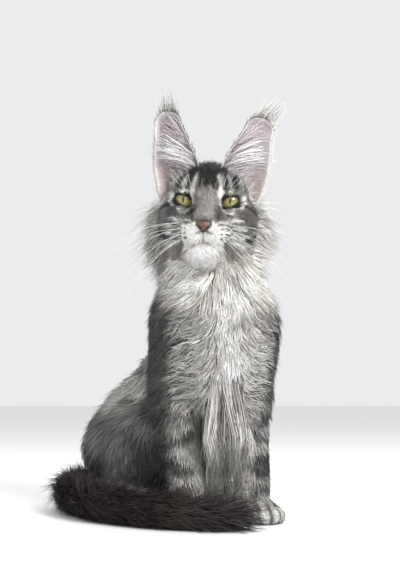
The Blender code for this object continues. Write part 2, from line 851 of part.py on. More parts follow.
def half_width_at(height):
    for (low, width_low), (high, width_high) in zip(EAR_HALF_WIDTHS, EAR_HALF_WIDTHS[1:]):
        if height <= high:
            share = (height - low) / (high - low)
            return width_low + share * (width_high - width_low)
    return EAR_HALF_WIDTHS[-1][1]


def ear_frame(side):
    """The ear's upward axis, the way its opening faces, the way across, and its surface."""
    root = Vector((side * EAR_ROOT.x, EAR_ROOT.y, EAR_ROOT.z))
    axis = (EAR_TIP_LEFT if side > 0 else EAR_TIP_RIGHT) - root
    facing = Vector((side * math.sin(EAR_TURN_OUT), -math.cos(EAR_TURN_OUT), 0))
    facing = (facing - axis * (facing.dot(axis) / axis.length_squared)).normalized()
    across = axis.cross(facing).normalized()

    def surface(height, u):
        half = half_width_at(height)
        hollow = half * (0.95 - 0.45 * max(0.0, height))
        return root + axis * height + across * (half * u) - facing * (hollow * (1 - abs(u) ** 2.2))

    return axis, facing, across, surface


def make_ear(side, word, rows=11, columns=8):
    """A cupped sheet with thickness, from below the skull's surface up to a round tip."""
    surface = ear_frame(side)[3]
    bm = bmesh.new()
    grid = []
    for row in range(rows + 1):
        height = -EAR_BELOW_ROOT + (1 + EAR_BELOW_ROOT) * (row / rows) ** 0.85
        line = []
        for column in range(columns + 1):
            point = surface(height, 2 * column / columns - 1)
            line.append(bm.verts.new(head_matrix() @ point))
        grid.append(line)
    for low, high in zip(grid, grid[1:]):
        for column in range(columns):
            bm.faces.new((low[column], low[column + 1], high[column + 1], high[column]))
    mesh = bpy.data.meshes.new(f"ear_{word}")
    bm.to_mesh(mesh)
    bm.free()
    ear = new_object(f"ear_{word}", mesh, "ear_skin")
    wall = ear.modifiers.new("wall", "SOLIDIFY")
    wall.thickness = EAR_THICK
    wall.offset = 0
    wall.use_even_offset = True
    apply_modifiers(ear)
    bm = bmesh.new()
    bm.from_mesh(ear.data)
    bmesh.ops.recalc_face_normals(bm, faces=bm.faces)
    bmesh.ops.triangulate(bm, faces=bm.faces[:])
    bm.to_mesh(ear.data)
    bm.free()
    return ear


def make_head():
    neck = [trunk_masses()[1], trunk_masses()[4]]
    head = blended_body("head", neck + head_masses(), HEAD_VOXEL, HEAD_TRIANGLES, "coat_grey")
    slice_off(head, NECK_TOP[0] + NECK_TOP[1].normalized() * HALF_GAP, NECK_TOP[1])
    nose = blended_body("nose", nose_masses(), NOSE_VOXEL, NOSE_TRIANGLES, "nose_leather")
    carve_mouth(head)
    cut_clear(head, nose)
    for side, word in ((1, "left"), (-1, "right")):
        make_eye(side, word)
        open_eye(head, side)
    keep_largest(head)
    for side, word in ((1, "left"), (-1, "right")):
        cut_clear(make_ear(side, word), head)
    return head


def part_legs(body):
    """Cuts the four legs from the body."""
    left = heading(PELVIS_YAW)[1]
    right_of_middle = (BETWEEN_FORELEGS, Vector((1, 0, 0)))
    left_of_middle = (BETWEEN_FORELEGS, Vector((-1, 0, 0)))
    haunch_top = (Vector((0, 0, HAUNCH_TOP)), Vector((0, 0, 1)))
    regions = {
        "foreleg_left": [ARMPIT_LEFT, left_of_middle, BEHIND_LEFT_FORELEG],
        "foreleg_right": [ARMPIT_RIGHT, right_of_middle, BEFORE_RIGHT_KNEE, BEHIND_RIGHT_FORELEG],
        "hindleg_right": [
            (PELVIS_AT - left * HAUNCH_INSIDE, left),
            haunch_top,
            (BEFORE_RIGHT_KNEE[0], -BEFORE_RIGHT_KNEE[1]),
        ],
        "hindleg_left": [
            (PELVIS_AT + left * HAUNCH_INSIDE, -left),
            haunch_top,
            (BEHIND_LEFT_FORELEG[0], -BEHIND_LEFT_FORELEG[1]),
        ],
    }
    return {name: part_off(body, name, planes) for name, planes in regions.items()}


def paw_plane(word, side):
    """The cut between a leg and its paw: a point and the normal that points to the leg."""
    if word == "forepaw":
        return Vector((0, 0, WRIST_HEIGHT)), Vector((0, 0, 1))
    place, yaw = hindpaw_place(side)
    forward = heading(yaw)[0]
    return place - forward * HINDPAW_LENGTH, -forward


def make_paws(legs):
    """Each paw as its own node, and its leg cut back to meet it."""
    for side, word in ((1, "left"), (-1, "right")):
        for kind, leg_kind, own, limbs in (
            ("forepaw", "foreleg", forepaw_masses(side), foreleg_masses(side)[1:]),
            ("hindpaw", "hindleg", hindpaw_masses(side), hindleg_masses(side)[2:]),
        ):
            point, normal = paw_plane(kind, side)
            leg = legs[f"{leg_kind}_{word}"]
            foot = region([(point, normal), (Vector((0, 0, HOCK_HEIGHT)), Vector((0, 0, 1)))], HALF_GAP)
            keep_largest(boolean(leg, "DIFFERENCE", foot))
            bpy.data.objects.remove(foot)
            paw = blended_body(f"{kind}_{word}", limbs + own, PAW_VOXEL, PAW_TRIANGLES, "coat_silver")
            slice_off(paw, point - normal * HALF_GAP, -normal)
            slice_off(paw, Vector((0, 0, 0)), Vector((0, 0, 1)))
            keep_largest(paw)


def make_tail(neighbours):
    """The tail's core on the floor, cut into three lengths and clear of the body and feet."""
    tail = blended_body("tail_base", tail_masses(), TAIL_VOXEL, TAIL_TRIANGLES, "coat_dark")
    slice_off(tail, Vector((0, 0, 0)), Vector((0, 0, 1)))
    for other in neighbours:
        cut_clear(tail, other)
    rest = tail
    for name, knot in (("tail_middle", TAIL_CUTS[0]), ("tail_tip", TAIL_CUTS[1])):
        point = TAIL_LINE[knot]
        along = (TAIL_LINE[knot + 1] - TAIL_LINE[knot - 1]).normalized()
        piece = copy_of(rest, name)
        slice_off(rest, point - along * HALF_GAP, -along)
        slice_off(piece, point + along * HALF_GAP, along)
        keep_largest(rest)
        rest = keep_largest(piece)


def lock_path(tree, root, lie, length, lift, cling, droop):
    """Places and outward directions along a lock, from under the skin to its tip.

    cling is how closely it follows the body, lift how far its tip stands off, droop how it sinks.
    """
    spot, outward = tree.find_nearest(root)[:2]
    heading_now = (lie - outward * lie.dot(outward)).normalized()
    stations = [(spot - outward * ROOT_DEPTH, outward)]
    for before, share in zip(LOCK_SHARES, LOCK_SHARES[1:]):
        ahead = spot + heading_now * (length * (share - before))
        on_body, normal = tree.find_nearest(ahead)[:2]
        moved = ahead.lerp(on_body, cling)
        heading_now = ((moved - spot).normalized() + Vector((0, 0, -droop))).normalized()
        spot = moved
        outward = outward.lerp(normal, 0.5 + 0.5 * cling).normalized()
        rise = LOCK_THICK * 0.8 + lift * share
        stations.append((spot + outward * rise, outward))
    return stations


def lock_section(half_width, half_thick, more):
    """Corners of a lock's section, across and over it, or the same moved out by more.

    It is flat below, with a low ridge.
    """
    wide, deep = half_width + more, half_thick + more
    if more:
        edge = more - half_thick
        return [(wide, -deep), (wide, edge), (0, deep), (-wide, edge), (-wide, -deep)]
    return [(wide, -deep), (0, deep), (-wide, -deep)]


def lock_mesh(name, stations, width, thick, more=0.0):
    """A closed blade along the stations, to a pointed tip. It is moved out on all sides by more."""
    bm = bmesh.new()
    rings = []
    across = (stations[-1][0] - stations[0][0]).cross(stations[1][1]).normalized()
    sizes = [(width * wide / 2, thick * deep / 2) for _, wide, deep in LOCK_SHAPE] + [(0, 0)]
    for i, (half_width, half_thick) in enumerate(sizes):
        place = stations[i][0]
        along = (stations[min(i + 1, len(stations) - 1)][0] - stations[max(i - 1, 0)][0]).normalized()
        over = across.cross(along).normalized()
        if i == 0:
            place = place - along * more
        if i == len(sizes) - 1:
            place = place + along * more
        section = lock_section(half_width, half_thick, more) if half_width or more else [(0, 0)]
        rings.append([bm.verts.new(place + across * x + over * z) for x, z in section])
    for low, high in zip(rings, rings[1:]):
        count = len(low)
        for k in range(count):
            n = (k + 1) % count
            if len(high) == 1:
                bm.faces.new((low[k], low[n], high[0]))
            else:
                bm.faces.new((low[k], low[n], high[n]))
                bm.faces.new((low[k], high[n], high[k]))
    for ring in (rings[0], rings[-1]):
        for k in range(1, len(ring) - 1):
            bm.faces.new((ring[0], ring[k], ring[k + 1]))
    bmesh.ops.recalc_face_normals(bm, faces=bm.faces)
    mesh = bpy.data.meshes.new(name)
    bm.to_mesh(mesh)
    bm.free()
    return mesh


class Coat:
    """The locks of every node, kept until they are fused."""

    def __init__(self, tree):
        self.tree = tree
        self.draw = random.Random(SEED)
        self.locks = {}
        self.fleeces = {}

    def add(self, node, root, lie, length, width, lift, cling=0.7, droop=0.1, thick=LOCK_THICK):
        draw = self.draw
        lie = Vector(lie).normalized()
        turn = Matrix.Rotation(draw.uniform(-0.14, 0.14), 3, self.tree.find_nearest(root)[1])
        length = length * draw.uniform(0.85, 1.15)
        width = width * draw.uniform(0.90, 1.10)
        path = lock_path(self.tree, root, turn @ lie, length, lift * draw.uniform(0.7, 1.3), cling, droop)
        path = [(Vector((p.x, p.y, max(p.z, thick))), outward) for p, outward in path]
        self.locks.setdefault(node, []).append((path, width, thick))

    def cast(self, start, end):
        """Where a line from outside meets the body."""
        start, end = Vector(start), Vector(end)
        return self.tree.ray_cast(start, (end - start).normalized())[0]

    def objects(self, node, more=0.0):
        made = []
        for path, width, thick in self.locks.get(node, []):
            made.append(new_object("lock", lock_mesh("lock", path, width, thick, more)))
        return made


def cheek_locks(coat):
    """The pale ruff that stands out behind each cheek."""
    turn = head_matrix().to_3x3()
    for side in (-1, 1):
        for behind, count, length, lift in CHEEK_ROWS:
            for i in range(count):
                level = CHEEK_TOP + (CHEEK_BOTTOM - CHEEK_TOP) * i / (count - 1)
                spot = coat.cast(head_point(side * 0.08, behind, level), head_point(0, behind, level))
                lie = turn @ Vector((side * (0.75 - 0.35 * i / count), 0.40, -0.35 - 0.5 * i / count))
                coat.add("head", spot, lie, length, CHEEK_LOCK_WIDTH, lift, cling=0.15, droop=0.10)


def beard_locks(coat):
    """A row under the jaw, from cheek to cheek, that hides where head and neck meet."""
    for i in range(BEARD_COUNT):
        angle = -BEARD_SPREAD + 2 * BEARD_SPREAD * i / (BEARD_COUNT - 1)
        outward = Vector((math.sin(angle), -math.cos(angle), 0))
        height = height_on(NECK_TOP, NECK_MIDDLE + outward * NECK_RADIUS) + BEARD_RISE
        middle = NECK_MIDDLE + Vector((0, 0, height))
        spot = coat.cast(middle + outward * CAST_FROM, middle)
        lie = outward * 0.35 + Vector((0, 0, -1))
        coat.add("head", spot, lie, BEARD_LENGTH, BEARD_WIDTH, 0.004, cling=0.4)


def height_on(plane, place):
    """Height of a plane above a place on the floor."""
    point, normal = plane
    return point.z - (normal.x * (place.x - point.x) + normal.y * (place.y - point.y)) / normal.z


def neck_locks(coat):
    """The bib and the ruff round the neck, in rows that follow its slope."""
    for tier, (share, count, length) in enumerate(NECK_ROWS):
        turn = math.pi * tier / count
        for i in range(count):
            angle = turn + 2 * math.pi * (i + 0.5) / count
            outward = Vector((math.sin(angle), -math.cos(angle), 0))
            rim = NECK_MIDDLE + outward * NECK_RADIUS
            height = height_on(NECK_TOP, rim) * (1 - share) + height_on(NECK_BASE, rim) * share
            middle = NECK_MIDDLE + Vector((0, 0, height))
            spot = coat.cast(middle + outward * CAST_FROM, middle)
            lie = outward * 0.15 + Vector((0, 0, -1))
            ahead = max(0.0, math.cos(angle))
            coat.add("neck", spot, lie, length * (0.85 + 0.3 * ahead), NECK_LOCK_WIDTH, 0.0045, cling=0.6)


def chest_locks(coat):
    """Tiers of locks down the chest, and the long ones that hang between the forelegs."""
    centre = chest_point(-0.004, 0, 0)
    for tier, (drop, count, spread) in enumerate(CHEST_TIERS):
        shift = math.radians(8 if tier % 2 else -8)
        for i in range(count):
            angle = CHEST_YAW + shift - spread + 2 * spread * (i + 0.5) / count
            outward = Vector((math.sin(angle), -math.cos(angle), 0))
            height = height_on(NECK_BASE, centre + outward * 0.05) - drop
            middle = centre + Vector((0, 0, height))
            spot = coat.cast(middle + outward * CAST_FROM, middle)
            lie = outward * 0.1 + Vector((0, 0, -1))
            coat.add("torso", spot, lie, CHEST_LOCK_LENGTH, CHEST_LOCK_WIDTH, 0.0045, cling=0.65)
    for left_by, height, length in APRON_LOCKS:
        spot = coat.cast(chest_point(0.10, left_by, height + 0.014), chest_point(0, left_by, height + 0.018))
        coat.add("torso", spot, (0, 0.25, -1), length, APRON_LOCK_WIDTH, 0.002, cling=0.0, droop=0.4)


def flank_locks(coat):
    """Locks that lie back and down over the back and flanks, and over the rump."""
    start = chest_point(-0.022, 0, 0.162)
    end = pelvis_point(0.012, 0, 0.086)
    axis = (end - start).normalized()
    side = axis.cross(Vector((0, 0, 1))).normalized()
    top = side.cross(axis).normalized()
    lie = axis + Vector((0, 0, -0.35))
    for row, share in enumerate(FLANK_SHARES):
        centre = start.lerp(end, share)
        for k in range(FLANK_LOCKS):
            angle = math.radians(-84 + 40 * k + (16 if row % 2 else 0))
            outward = top * math.cos(angle) + side * math.sin(angle)
            spot = coat.cast(centre + outward * CAST_FROM, centre)
            if spot and spot.z > HAUNCH_TOP + ROOT_DEPTH:
                coat.add("torso", spot, lie, FLANK_LOCK_LENGTH, FLANK_LOCK_WIDTH, 0.0045, cling=0.9)
    forward, across = heading(PELVIS_YAW)
    for height, left_by in RUMP_LOCKS:
        centre = pelvis_point(0, left_by, height)
        spot = coat.cast(centre - forward * CAST_FROM, centre)
        coat.add("torso", spot, (0, 0, -1), RUMP_LOCK_LENGTH, RUMP_LOCK_WIDTH, 0.0045, cling=0.8)


def leg_locks(coat):
    """Britches down each haunch and thigh, and a few locks behind each elbow."""
    forward, left = heading(PELVIS_YAW)
    for side, word in ((1, "left"), (-1, "right")):
        for tier, (height, count) in enumerate(BRITCHES_TIERS):
            for k in range(count):
                angle = math.radians(-40 + 34 * k + (14 if tier % 2 else 0))
                outward = left * side * math.cos(angle) - forward * math.sin(angle)
                centre = pelvis_point(0.008, side * 0.030, height)
                spot = coat.cast(centre + outward * CAST_FROM, centre)
                lie = forward * -0.55 + Vector((0, 0, -1))
                coat.add(f"hindleg_{word}", spot, lie, BRITCHES_LENGTH, BRITCHES_WIDTH, 0.0045, cling=0.85)
        elbow = foreleg_masses(side)[0].end
        for drop in ELBOW_DROPS:
            centre = elbow - Vector((0, 0, drop))
            spot = coat.cast(centre + Vector((side * 0.05, 0.10, 0)), centre)
            lie = (side * 0.1, 0.35, -1)
            coat.add(f"foreleg_{word}", spot, lie, ELBOW_LOCK_LENGTH, ELBOW_LOCK_WIDTH, 0.003, cling=0.5)


def on_tail(knot):
    """A spot on the tail's line, carried straight on past its tip."""
    last = len(TAIL_LINE) - 1
    if knot <= last:
        return tail_at(knot)[0]
    return TAIL_LINE[last] + (TAIL_LINE[last] - TAIL_LINE[last - 1]) * (knot - last)


def tail_locks(coat):
    """Locks along the tail, spread like a plume towards its tip."""
    draw = coat.draw
    last = len(TAIL_LINE) - 1
    for row in range(TAIL_ROWS):
        for k in range(TAIL_ROW_LOCKS):
            knot = 0.7 + (last - 0.72) * row / (TAIL_ROWS - 1)
            knot = min(knot + draw.uniform(-0.09, 0.09), last - 0.01)
            place, radius = tail_at(knot)
            along = (on_tail(knot + 0.2) - place).normalized()
            side = along.cross(Vector((0, 0, 1))).normalized()
            node = "tail_base" if knot < TAIL_CUTS[0] - 0.1 else "tail_middle"
            node = "tail_tip" if knot > TAIL_CUTS[1] - 0.02 else node
            angle = math.radians(-122 + 50 * k + (25 if row % 2 else 0) + draw.uniform(-9, 9))
            outward = Vector((0, 0, 1)) * math.cos(angle) + side * math.sin(angle)
            reach = TAIL_LOCK_REACH * draw.uniform(0.85, 1.2)
            spread = TAIL_LOCK_SPREAD * draw.uniform(0.7, 1.3)
            stations = []
            for share in LOCK_SHARES:
                rise = radius - ROOT_DEPTH * (1 - min(1, share / 0.15)) + 0.001 + spread * share
                spot = on_tail(knot + share * reach) + outward * rise
                spot.z = max(spot.z, LOCK_THICK)
                stations.append((spot, outward))
            coat.locks.setdefault(node, []).append((stations, TAIL_LOCK_WIDTH, LOCK_THICK))


def ear_locks(coat):
    """The lynx tuft at each ear's tip and the long locks that sweep across its opening."""
    turn = head_matrix().to_3x3()
    for side, word in ((1, "left"), (-1, "right")):
        axis, facing, across, surface = ear_frame(side)
        upright = axis.normalized()
        locks = coat.locks.setdefault(f"ear_{word}", [])
        over = (turn @ facing).normalized()
        for lean in EAR_TUFT_LEANS:
            start = surface(0.90, lean * 0.8)
            lie = (upright - across * lean * 0.12 + Vector((side * 0.16, 0.05, 0))).normalized()
            length = EAR_TUFT_LENGTH - 0.008 * abs(lean)
            stations = [(head_point(*(start + lie * length * share)), over) for share in LOCK_SHARES]
            locks.append((stations, EAR_TUFT_WIDTH, TUFT_THICK))
        for k, height in enumerate(EAR_FRINGE_HEIGHTS):
            reach = 0.50 + 0.30 * (k % 2)
            inner = surface(height, -side * 0.90)
            outer = surface(min(0.93, height + EAR_FRINGE_RISE), side * reach)
            stations = []
            for share in LOCK_SHARES:
                swell = math.sin(math.pi * min(1, 0.12 + share))
                bow = facing * (EAR_FRINGE_BOW * swell - (0.0016 if share == 0 else 0))
                arch = upright * (EAR_FRINGE_ARCH * math.sin(math.pi * share))
                stations.append((head_point(*(inner.lerp(outer, share) + bow + arch)), over))
            locks.append((stations, EAR_FRINGE_WIDTH, TUFT_THICK))


def fuse_coat(coat, order):
    """Joins each node's locks to it in one union, clear of the floor and of every other node."""
    floor = region([(Vector((0, 0, 0)), Vector((0, 0, 1)))], 0)
    for name in order:
        if name not in coat.locks:
            continue
        locks = coat.objects(name)
        fleece = locks.pop()
        join(fleece, "UNION", locks)
        boolean(fleece, "DIFFERENCE", floor)
        others = [bpy.data.objects[other] for other in order if other != name]
        join(fleece, "DIFFERENCE", [grown(other, GAP) for other in others if boxes_meet(other, fleece)])
        coat.fleeces[name] = fleece
    for place, name in enumerate(order):
        node = bpy.data.objects[name]
        if name in coat.fleeces:
            keep_largest(boolean(node, "UNION", coat.fleeces[name]))
        for other in order[:place]:
            cutters = only_near(coat.objects(other, GAP), node)
            if cutters:
                join(node, "DIFFERENCE", cutters)
                keep_largest(node)
        clean(node)
    for fleece in coat.fleeces.values():
        bpy.data.objects.remove(fleece)
    bpy.data.objects.remove(floor)


def finish_nodes():
    """One material and smooth shading on each node."""
    for obj in bpy.data.collections[CAT].objects:
        mesh = obj.data
        finish = mesh.materials[0]
        mesh.materials.clear()
        mesh.materials.append(finish)
        mesh.polygons.foreach_set("material_index", [0] * len(mesh.polygons))
        mesh.shade_smooth()
        mesh.set_sharp_from_angle(angle=SHARP_ANGLE)


def centre_on_floor():
    """Moves everything so that the middle of the bounding box stands over the origin."""
    objects = bpy.data.collections[CAT].objects
    points = [vertex.co for obj in objects for vertex in obj.data.vertices]
    middle_x = (min(p.x for p in points) + max(p.x for p in points)) / 2
    middle_y = (min(p.y for p in points) + max(p.y for p in points)) / 2
    for obj in objects:
        obj.data.transform(Matrix.Translation((-middle_x, -middle_y, 0)))
        obj.data.update()


def main():
    clear_scene()
    body = blended_body("torso", body_masses(), BODY_VOXEL, BODY_TRIANGLES, "coat_silver")
    coat = Coat(tree_of(body))
    slice_off(body, Vector((0, 0, 0)), Vector((0, 0, 1)))
    slice_off(body, NECK_TOP[0] - NECK_TOP[1].normalized() * HALF_GAP, -NECK_TOP[1])
    keep_largest(body)
    part_off(body, "neck", [(NECK_BASE[0], -NECK_BASE[1])])
    legs = part_legs(body)
    make_paws(legs)
    make_tail(bpy.data.collections[CAT].objects[:])
    make_head()
    for plant in (cheek_locks, beard_locks, neck_locks, chest_locks, flank_locks, leg_locks, tail_locks):
        plant(coat)
    ear_locks(coat)
    fuse_coat(coat, FUSE_ORDER)
    finish_nodes()
    centre_on_floor()


main()
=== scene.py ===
"""The looks of the young Maine Coon: one skin, its coat in tufts, ears, eyes, nose and whiskers.

Metres, +Z up. Shapes are drawn in the solids' own drawing frame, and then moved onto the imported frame.
"""

import math

import bmesh
import bpy
import numpy as np
from mathutils import Euler, Matrix, Vector
from mathutils.bvhtree import BVHTree
from mathutils.kdtree import KDTree


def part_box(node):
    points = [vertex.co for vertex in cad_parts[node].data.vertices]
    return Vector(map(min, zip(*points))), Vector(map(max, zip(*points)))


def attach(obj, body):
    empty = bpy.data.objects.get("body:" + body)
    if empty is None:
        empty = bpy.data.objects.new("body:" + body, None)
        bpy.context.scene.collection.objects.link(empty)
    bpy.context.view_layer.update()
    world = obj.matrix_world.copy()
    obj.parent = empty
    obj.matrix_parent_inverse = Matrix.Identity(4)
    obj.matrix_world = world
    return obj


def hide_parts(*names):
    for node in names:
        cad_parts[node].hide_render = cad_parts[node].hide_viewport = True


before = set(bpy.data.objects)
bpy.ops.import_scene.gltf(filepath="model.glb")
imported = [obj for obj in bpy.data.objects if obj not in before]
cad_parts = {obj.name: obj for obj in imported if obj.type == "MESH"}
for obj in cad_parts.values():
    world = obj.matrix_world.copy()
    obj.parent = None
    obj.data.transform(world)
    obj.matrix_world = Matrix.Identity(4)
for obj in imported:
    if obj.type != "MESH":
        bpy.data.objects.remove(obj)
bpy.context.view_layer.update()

# The photograph's frame and the camera that fits it: focal length in pixels, place and tilt
IMAGE_HEIGHT = 571
FOCAL_PIXELS = 950
SENSOR = 36.0
CAMERA_AT = Vector((-0.0123, -0.9, 0.125))
CAMERA_TILT = math.radians(6.2)

# Head: its frame starts midway between the eyeballs, nose towards local -Y
HEAD_AT = Vector((-0.0054, -0.021, 0.2998))
HEAD_TURN = Euler((math.radians(7), math.radians(3), math.radians(-4)), "XYZ").to_matrix()
HEAD = Matrix.Translation(HEAD_AT) @ HEAD_TURN.to_4x4()
DOWN = np.array((0.0, 0.0, -1.0))
EYE_SPREAD = 0.0219
EYE_RADIUS = 0.0102
EYE_SLANT = math.radians(27)
EYE_OPEN_WIDTH = 0.0190
EYE_OPEN_HEIGHT = 0.0099
LID_THICK = 0.0021
CORNEA_RADIUS = 0.0078
CORNEA_BULGE = 0.0006
# How far the cutter of an eye's slit reaches forwards, and how far from the eyeball no tuft grows
SLIT_REACH = 0.03
SLIT_BARE = 0.0006
# How deep the dark rim lies in the lids
RIM_SINK = 0.0007
# Side of the iris' map, and in millimetres the reach of its colours and half the pupil's width and height
IRIS_MAP = 0.024
IRIS_RING = 10.0
PUPIL_HALVES = (0.85, 3.1)
# Colours of the iris, as light, from its middle to its edge
IRIS_STOPS = [
    (0.0, (0.19, 0.15, 0.045)),
    (0.30, (0.27, 0.225, 0.070)),
    (0.60, (0.24, 0.21, 0.070)),
    (0.78, (0.12, 0.105, 0.038)),
    (0.86, (0.012, 0.010, 0.008)),
]
NOSE_AT = Vector((0, -0.036, -0.027))
# Where lines along the head start, in front of its face
RAY_START = -0.08

# Ears
EAR_ROOT = Vector((0.0290, 0.018, 0.016))
EAR_TIP_LEFT = Vector((0.0490, 0.012, 0.0815))
EAR_TIP_RIGHT = Vector((-0.0450, 0.012, 0.0850))
EAR_TURN_OUT = math.radians(22)
EAR_THICK = 0.0014
EAR_BELOW_ROOT = 0.32
# Which way each tip's tuft points, in the head's frame, and its longest hair
TIP_WAYS = {1: (0.55, 0.05, 0.85), -1: (-0.06, 0.05, 1.0)}
TIP_LENGTHS = {1: 0.031, -1: 0.026}
EAR_HALF_WIDTHS = [
    (-0.32, 0.0225),
    (0.00, 0.0242),
    (0.30, 0.0236),
    (0.50, 0.0198),
    (0.73, 0.0150),
    (1.00, 0.0122),
]
# Where the ear's tip begins to round off, as a share of its height, and the least half width
EAR_TIP_FROM = 0.84
EAR_TIP_LEAST = 0.0008

# Trunk and legs
CHEST_AT = Vector((0.002, 0.022, 0.0))
CHEST_YAW = math.radians(14)
CHEST_WIDTH = 0.085
CHEST_DEPTH = 0.098
SHOULDER_HEIGHT = 0.184
ELBOW_LEFT = Vector((0.033, 0.044, 0.108))
ELBOW_RIGHT = Vector((-0.037, 0.024, 0.108))
PELVIS_AT = Vector((-0.069, 0.128, 0.0))
PELVIS_YAW = math.radians(42)
PELVIS_HEIGHT = 0.0605
HAUNCH_SPREAD = 0.034
# Ends of the back's mass, in the frames of the chest and of the pelvis
BACK_START = (-0.022, 0, 0.162)
BACK_END = (0.012, 0, 0.086)
FOREPAW_LEFT = Vector((0.044, 0.012, 0.0))
FOREPAW_RIGHT = Vector((-0.031, -0.008, 0.0))
FOREPAW_LEFT_YAW = math.radians(24)
FOREPAW_RIGHT_YAW = math.radians(4)
HINDPAW_LEFT_YAW = math.radians(42)
HINDPAW_RIGHT_YAW = math.radians(31)
PAW_LENGTH = 0.036
PAW_RADIUS = 0.0155
TOE_RADIUS = 0.0083
SOLE_SINK = 0.0015
# Which way the coat of the paws lies
PAW_LIE_YAW = math.radians(25)

# Tail
TAIL_LINE = [
    Vector((-0.090, 0.160, 0.040)),
    Vector((-0.114, 0.174, 0.028)),
    Vector((-0.137, 0.154, 0.016)),
    Vector((-0.147, 0.110, 0.014)),
    Vector((-0.136, 0.064, 0.014)),
    Vector((-0.107, 0.020, 0.015)),
    Vector((-0.062, -0.017, 0.015)),
    Vector((-0.018, -0.038, 0.014)),
    Vector((0.008, -0.042, 0.013)),
]
# The place on the tail's line, in knots, where its coat fans out most
TAIL_FAN = 3.2
# How much further the coat stands where it faces up, on the whole tail and on its fan
TAIL_RISE = 0.004
FAN_RISE = 0.014
FAN_FLATTER = 0.0045
TAIL_RADII = [0.0130, 0.0120, 0.0112, 0.0108, 0.0105, 0.0102, 0.0098, 0.0088, 0.0060]

# Skin mesh
SKIN_VOXEL = 0.0017
NOSE_VOXEL = 0.0006
# Limits of the finer skin on the face, in the head's frame: back, low and to each side
FINE_BACK = 0.008
FINE_LOW = -0.062
FINE_WIDE = 0.045
# The furthest that a vertex moves in one round of settling
SETTLE_STEP = 0.004
# Least height above the floor, of the skin and of the middle of a tuft
FLOOR_CLEAR = 0.0003
TUFT_CLEAR = 0.0008
# How much less deep the skin lies round the eyes and on the muzzle, and its least depth
EYE_THINNER = 0.0014
MUZZLE_THINNER = 0.0010
LEAST_DEPTH = 0.0004

# Each region's coat: how deep the skin lies under the solids' core, then length, stand of the tips
# above the skin, width of a tuft, how far neighbours gather into locks, and the share that stray
COATS = {
    "neck": (0.0045, 0.032, 0.0120, 0.0010, 0.60, 0.08),
    "chest": (0.0045, 0.021, 0.0105, 0.0010, 0.55, 0.07),
    "shoulder": (0.0040, 0.026, 0.0095, 0.0010, 0.50, 0.07),
    "back": (0.0045, 0.026, 0.0105, 0.0010, 0.40, 0.08),
    "rump": (0.0045, 0.026, 0.0100, 0.0010, 0.34, 0.08),
    "head": (0.0018, 0.009, 0.0032, 0.0007, 0.25, 0.04),
    "foreleg": (0.0015, 0.0100, 0.0034, 0.0008, 0.30, 0.05),
    "haunch": (0.0040, 0.022, 0.0085, 0.0009, 0.28, 0.07),
    "shank": (0.0015, 0.0100, 0.0036, 0.0009, 0.25, 0.05),
    "paw": (0.0008, 0.0048, 0.0017, 0.0007, 0.15, 0.02),
    "tail": (0.0045, 0.042, 0.0150, 0.0009, 0.28, 0.20),
}
REGIONS = list(COATS)
# What each part of the head adds to its length, stand, width, gathering and strays
HEAD_COAT = {
    "face": (-0.0042, -0.0014, -0.0002, 0, 0),
    "by_eye": (-0.0030, -0.0004, -0.0001, -0.10, 0),
    "muzzle": (-0.0018, 0, 0, 0, 0),
    "ruff": (0.020, 0.0340, 0.0003, 0.20, 0.15),
    "jaw": (0.014, 0.0060, 0.0003, 0.25, 0),
    "chin": (0.004, 0.0020, 0, 0, 0),
    "crown": (0.010, 0.0085, 0, 0, 0),
    "temple": (0.008, 0.0060, 0, 0, 0),
}
# How softly one region's coat passes into the next
REGION_SOFTNESS = 0.006
# Pieces of the coat: regions, tufts, stations along a tuft, slot
PIECES = {
    "coat_face": (["head"], 18000, 3, "coat_grey"),
    "coat_head": (["head"], 14000, 3, "coat_grey"),
    "coat_neck": (["neck"], 11000, 4, "coat_silver"),
    "coat_chest": (["chest", "shoulder"], 12000, 4, "coat_silver"),
    "coat_back": (["back", "rump"], 9500, 4, "coat_silver"),
    "coat_haunch": (["haunch", "shank"], 9500, 4, "coat_silver"),
    "coat_legs": (["foreleg", "paw"], 14500, 3, "coat_silver"),
    "coat_tail": (["tail"], 11500, 4, "coat_dark"),
}
# Where the coat of the face ends and that of the rest of the head begins
FACE_BACK = 0.006
APRON_TUFTS = 1500
APRON_LONGEST = 0.088
FAN_TUFTS = 1100
BRUSH_TUFTS = 900
STRAY_STAND = 1.25
STRAY_WIDTH = 0.6
STRAY_LEAN = 2.5
# How much one lock differs in tone from the next
LOCK_SHADE = 0.38
TUFTS_PER_LOCK = 13
FREE_STATIONS = 5
EAR_STATIONS = 4
STATION_SHARES = {3: [0, 0.55, 1], 4: [0, 0.32, 0.68, 1], 5: [0, 0.25, 0.5, 0.76, 1]}
RING_WIDTHS = {3: [0.85, 0.80], 4: [0.75, 1.0, 0.68], 5: [0.7, 1.0, 0.9, 0.6]}
# A tuft's section below and above its middle, as shares of its width
BLADE_BELOW = 0.16
BLADE_ABOVE = 0.30
# A tuft's length on the unwrap, and how deep its root sits in the skin
PATCH = 0.003
ROOT_SINK = 0.0004

# Colours, as seen: red, green, blue
BLACK = (0.115, 0.108, 0.105)
DARK = (0.27, 0.262, 0.256)
GREY = (0.50, 0.49, 0.48)
SILVER = (0.745, 0.735, 0.72)
PALE = (0.87, 0.86, 0.84)
WHITE = (0.985, 0.975, 0.96)
CREAM = (0.94, 0.925, 0.89)
BROWN = (0.45, 0.42, 0.395)
BRIDGE = (0.64, 0.62, 0.60)
SOOT = (0.150, 0.122, 0.115)
LIP = (0.52, 0.46, 0.44)
PINK = (0.79, 0.695, 0.69)
EAR_GREY = (0.745, 0.715, 0.725)
EAR_SHADE = (0.62, 0.575, 0.585)
NOSE_RED = (0.41, 0.295, 0.265)
NOSTRIL = (0.05, 0.04, 0.04)
# How much darker the skin is than the coat over it
UNDER_SHADE = 0.75
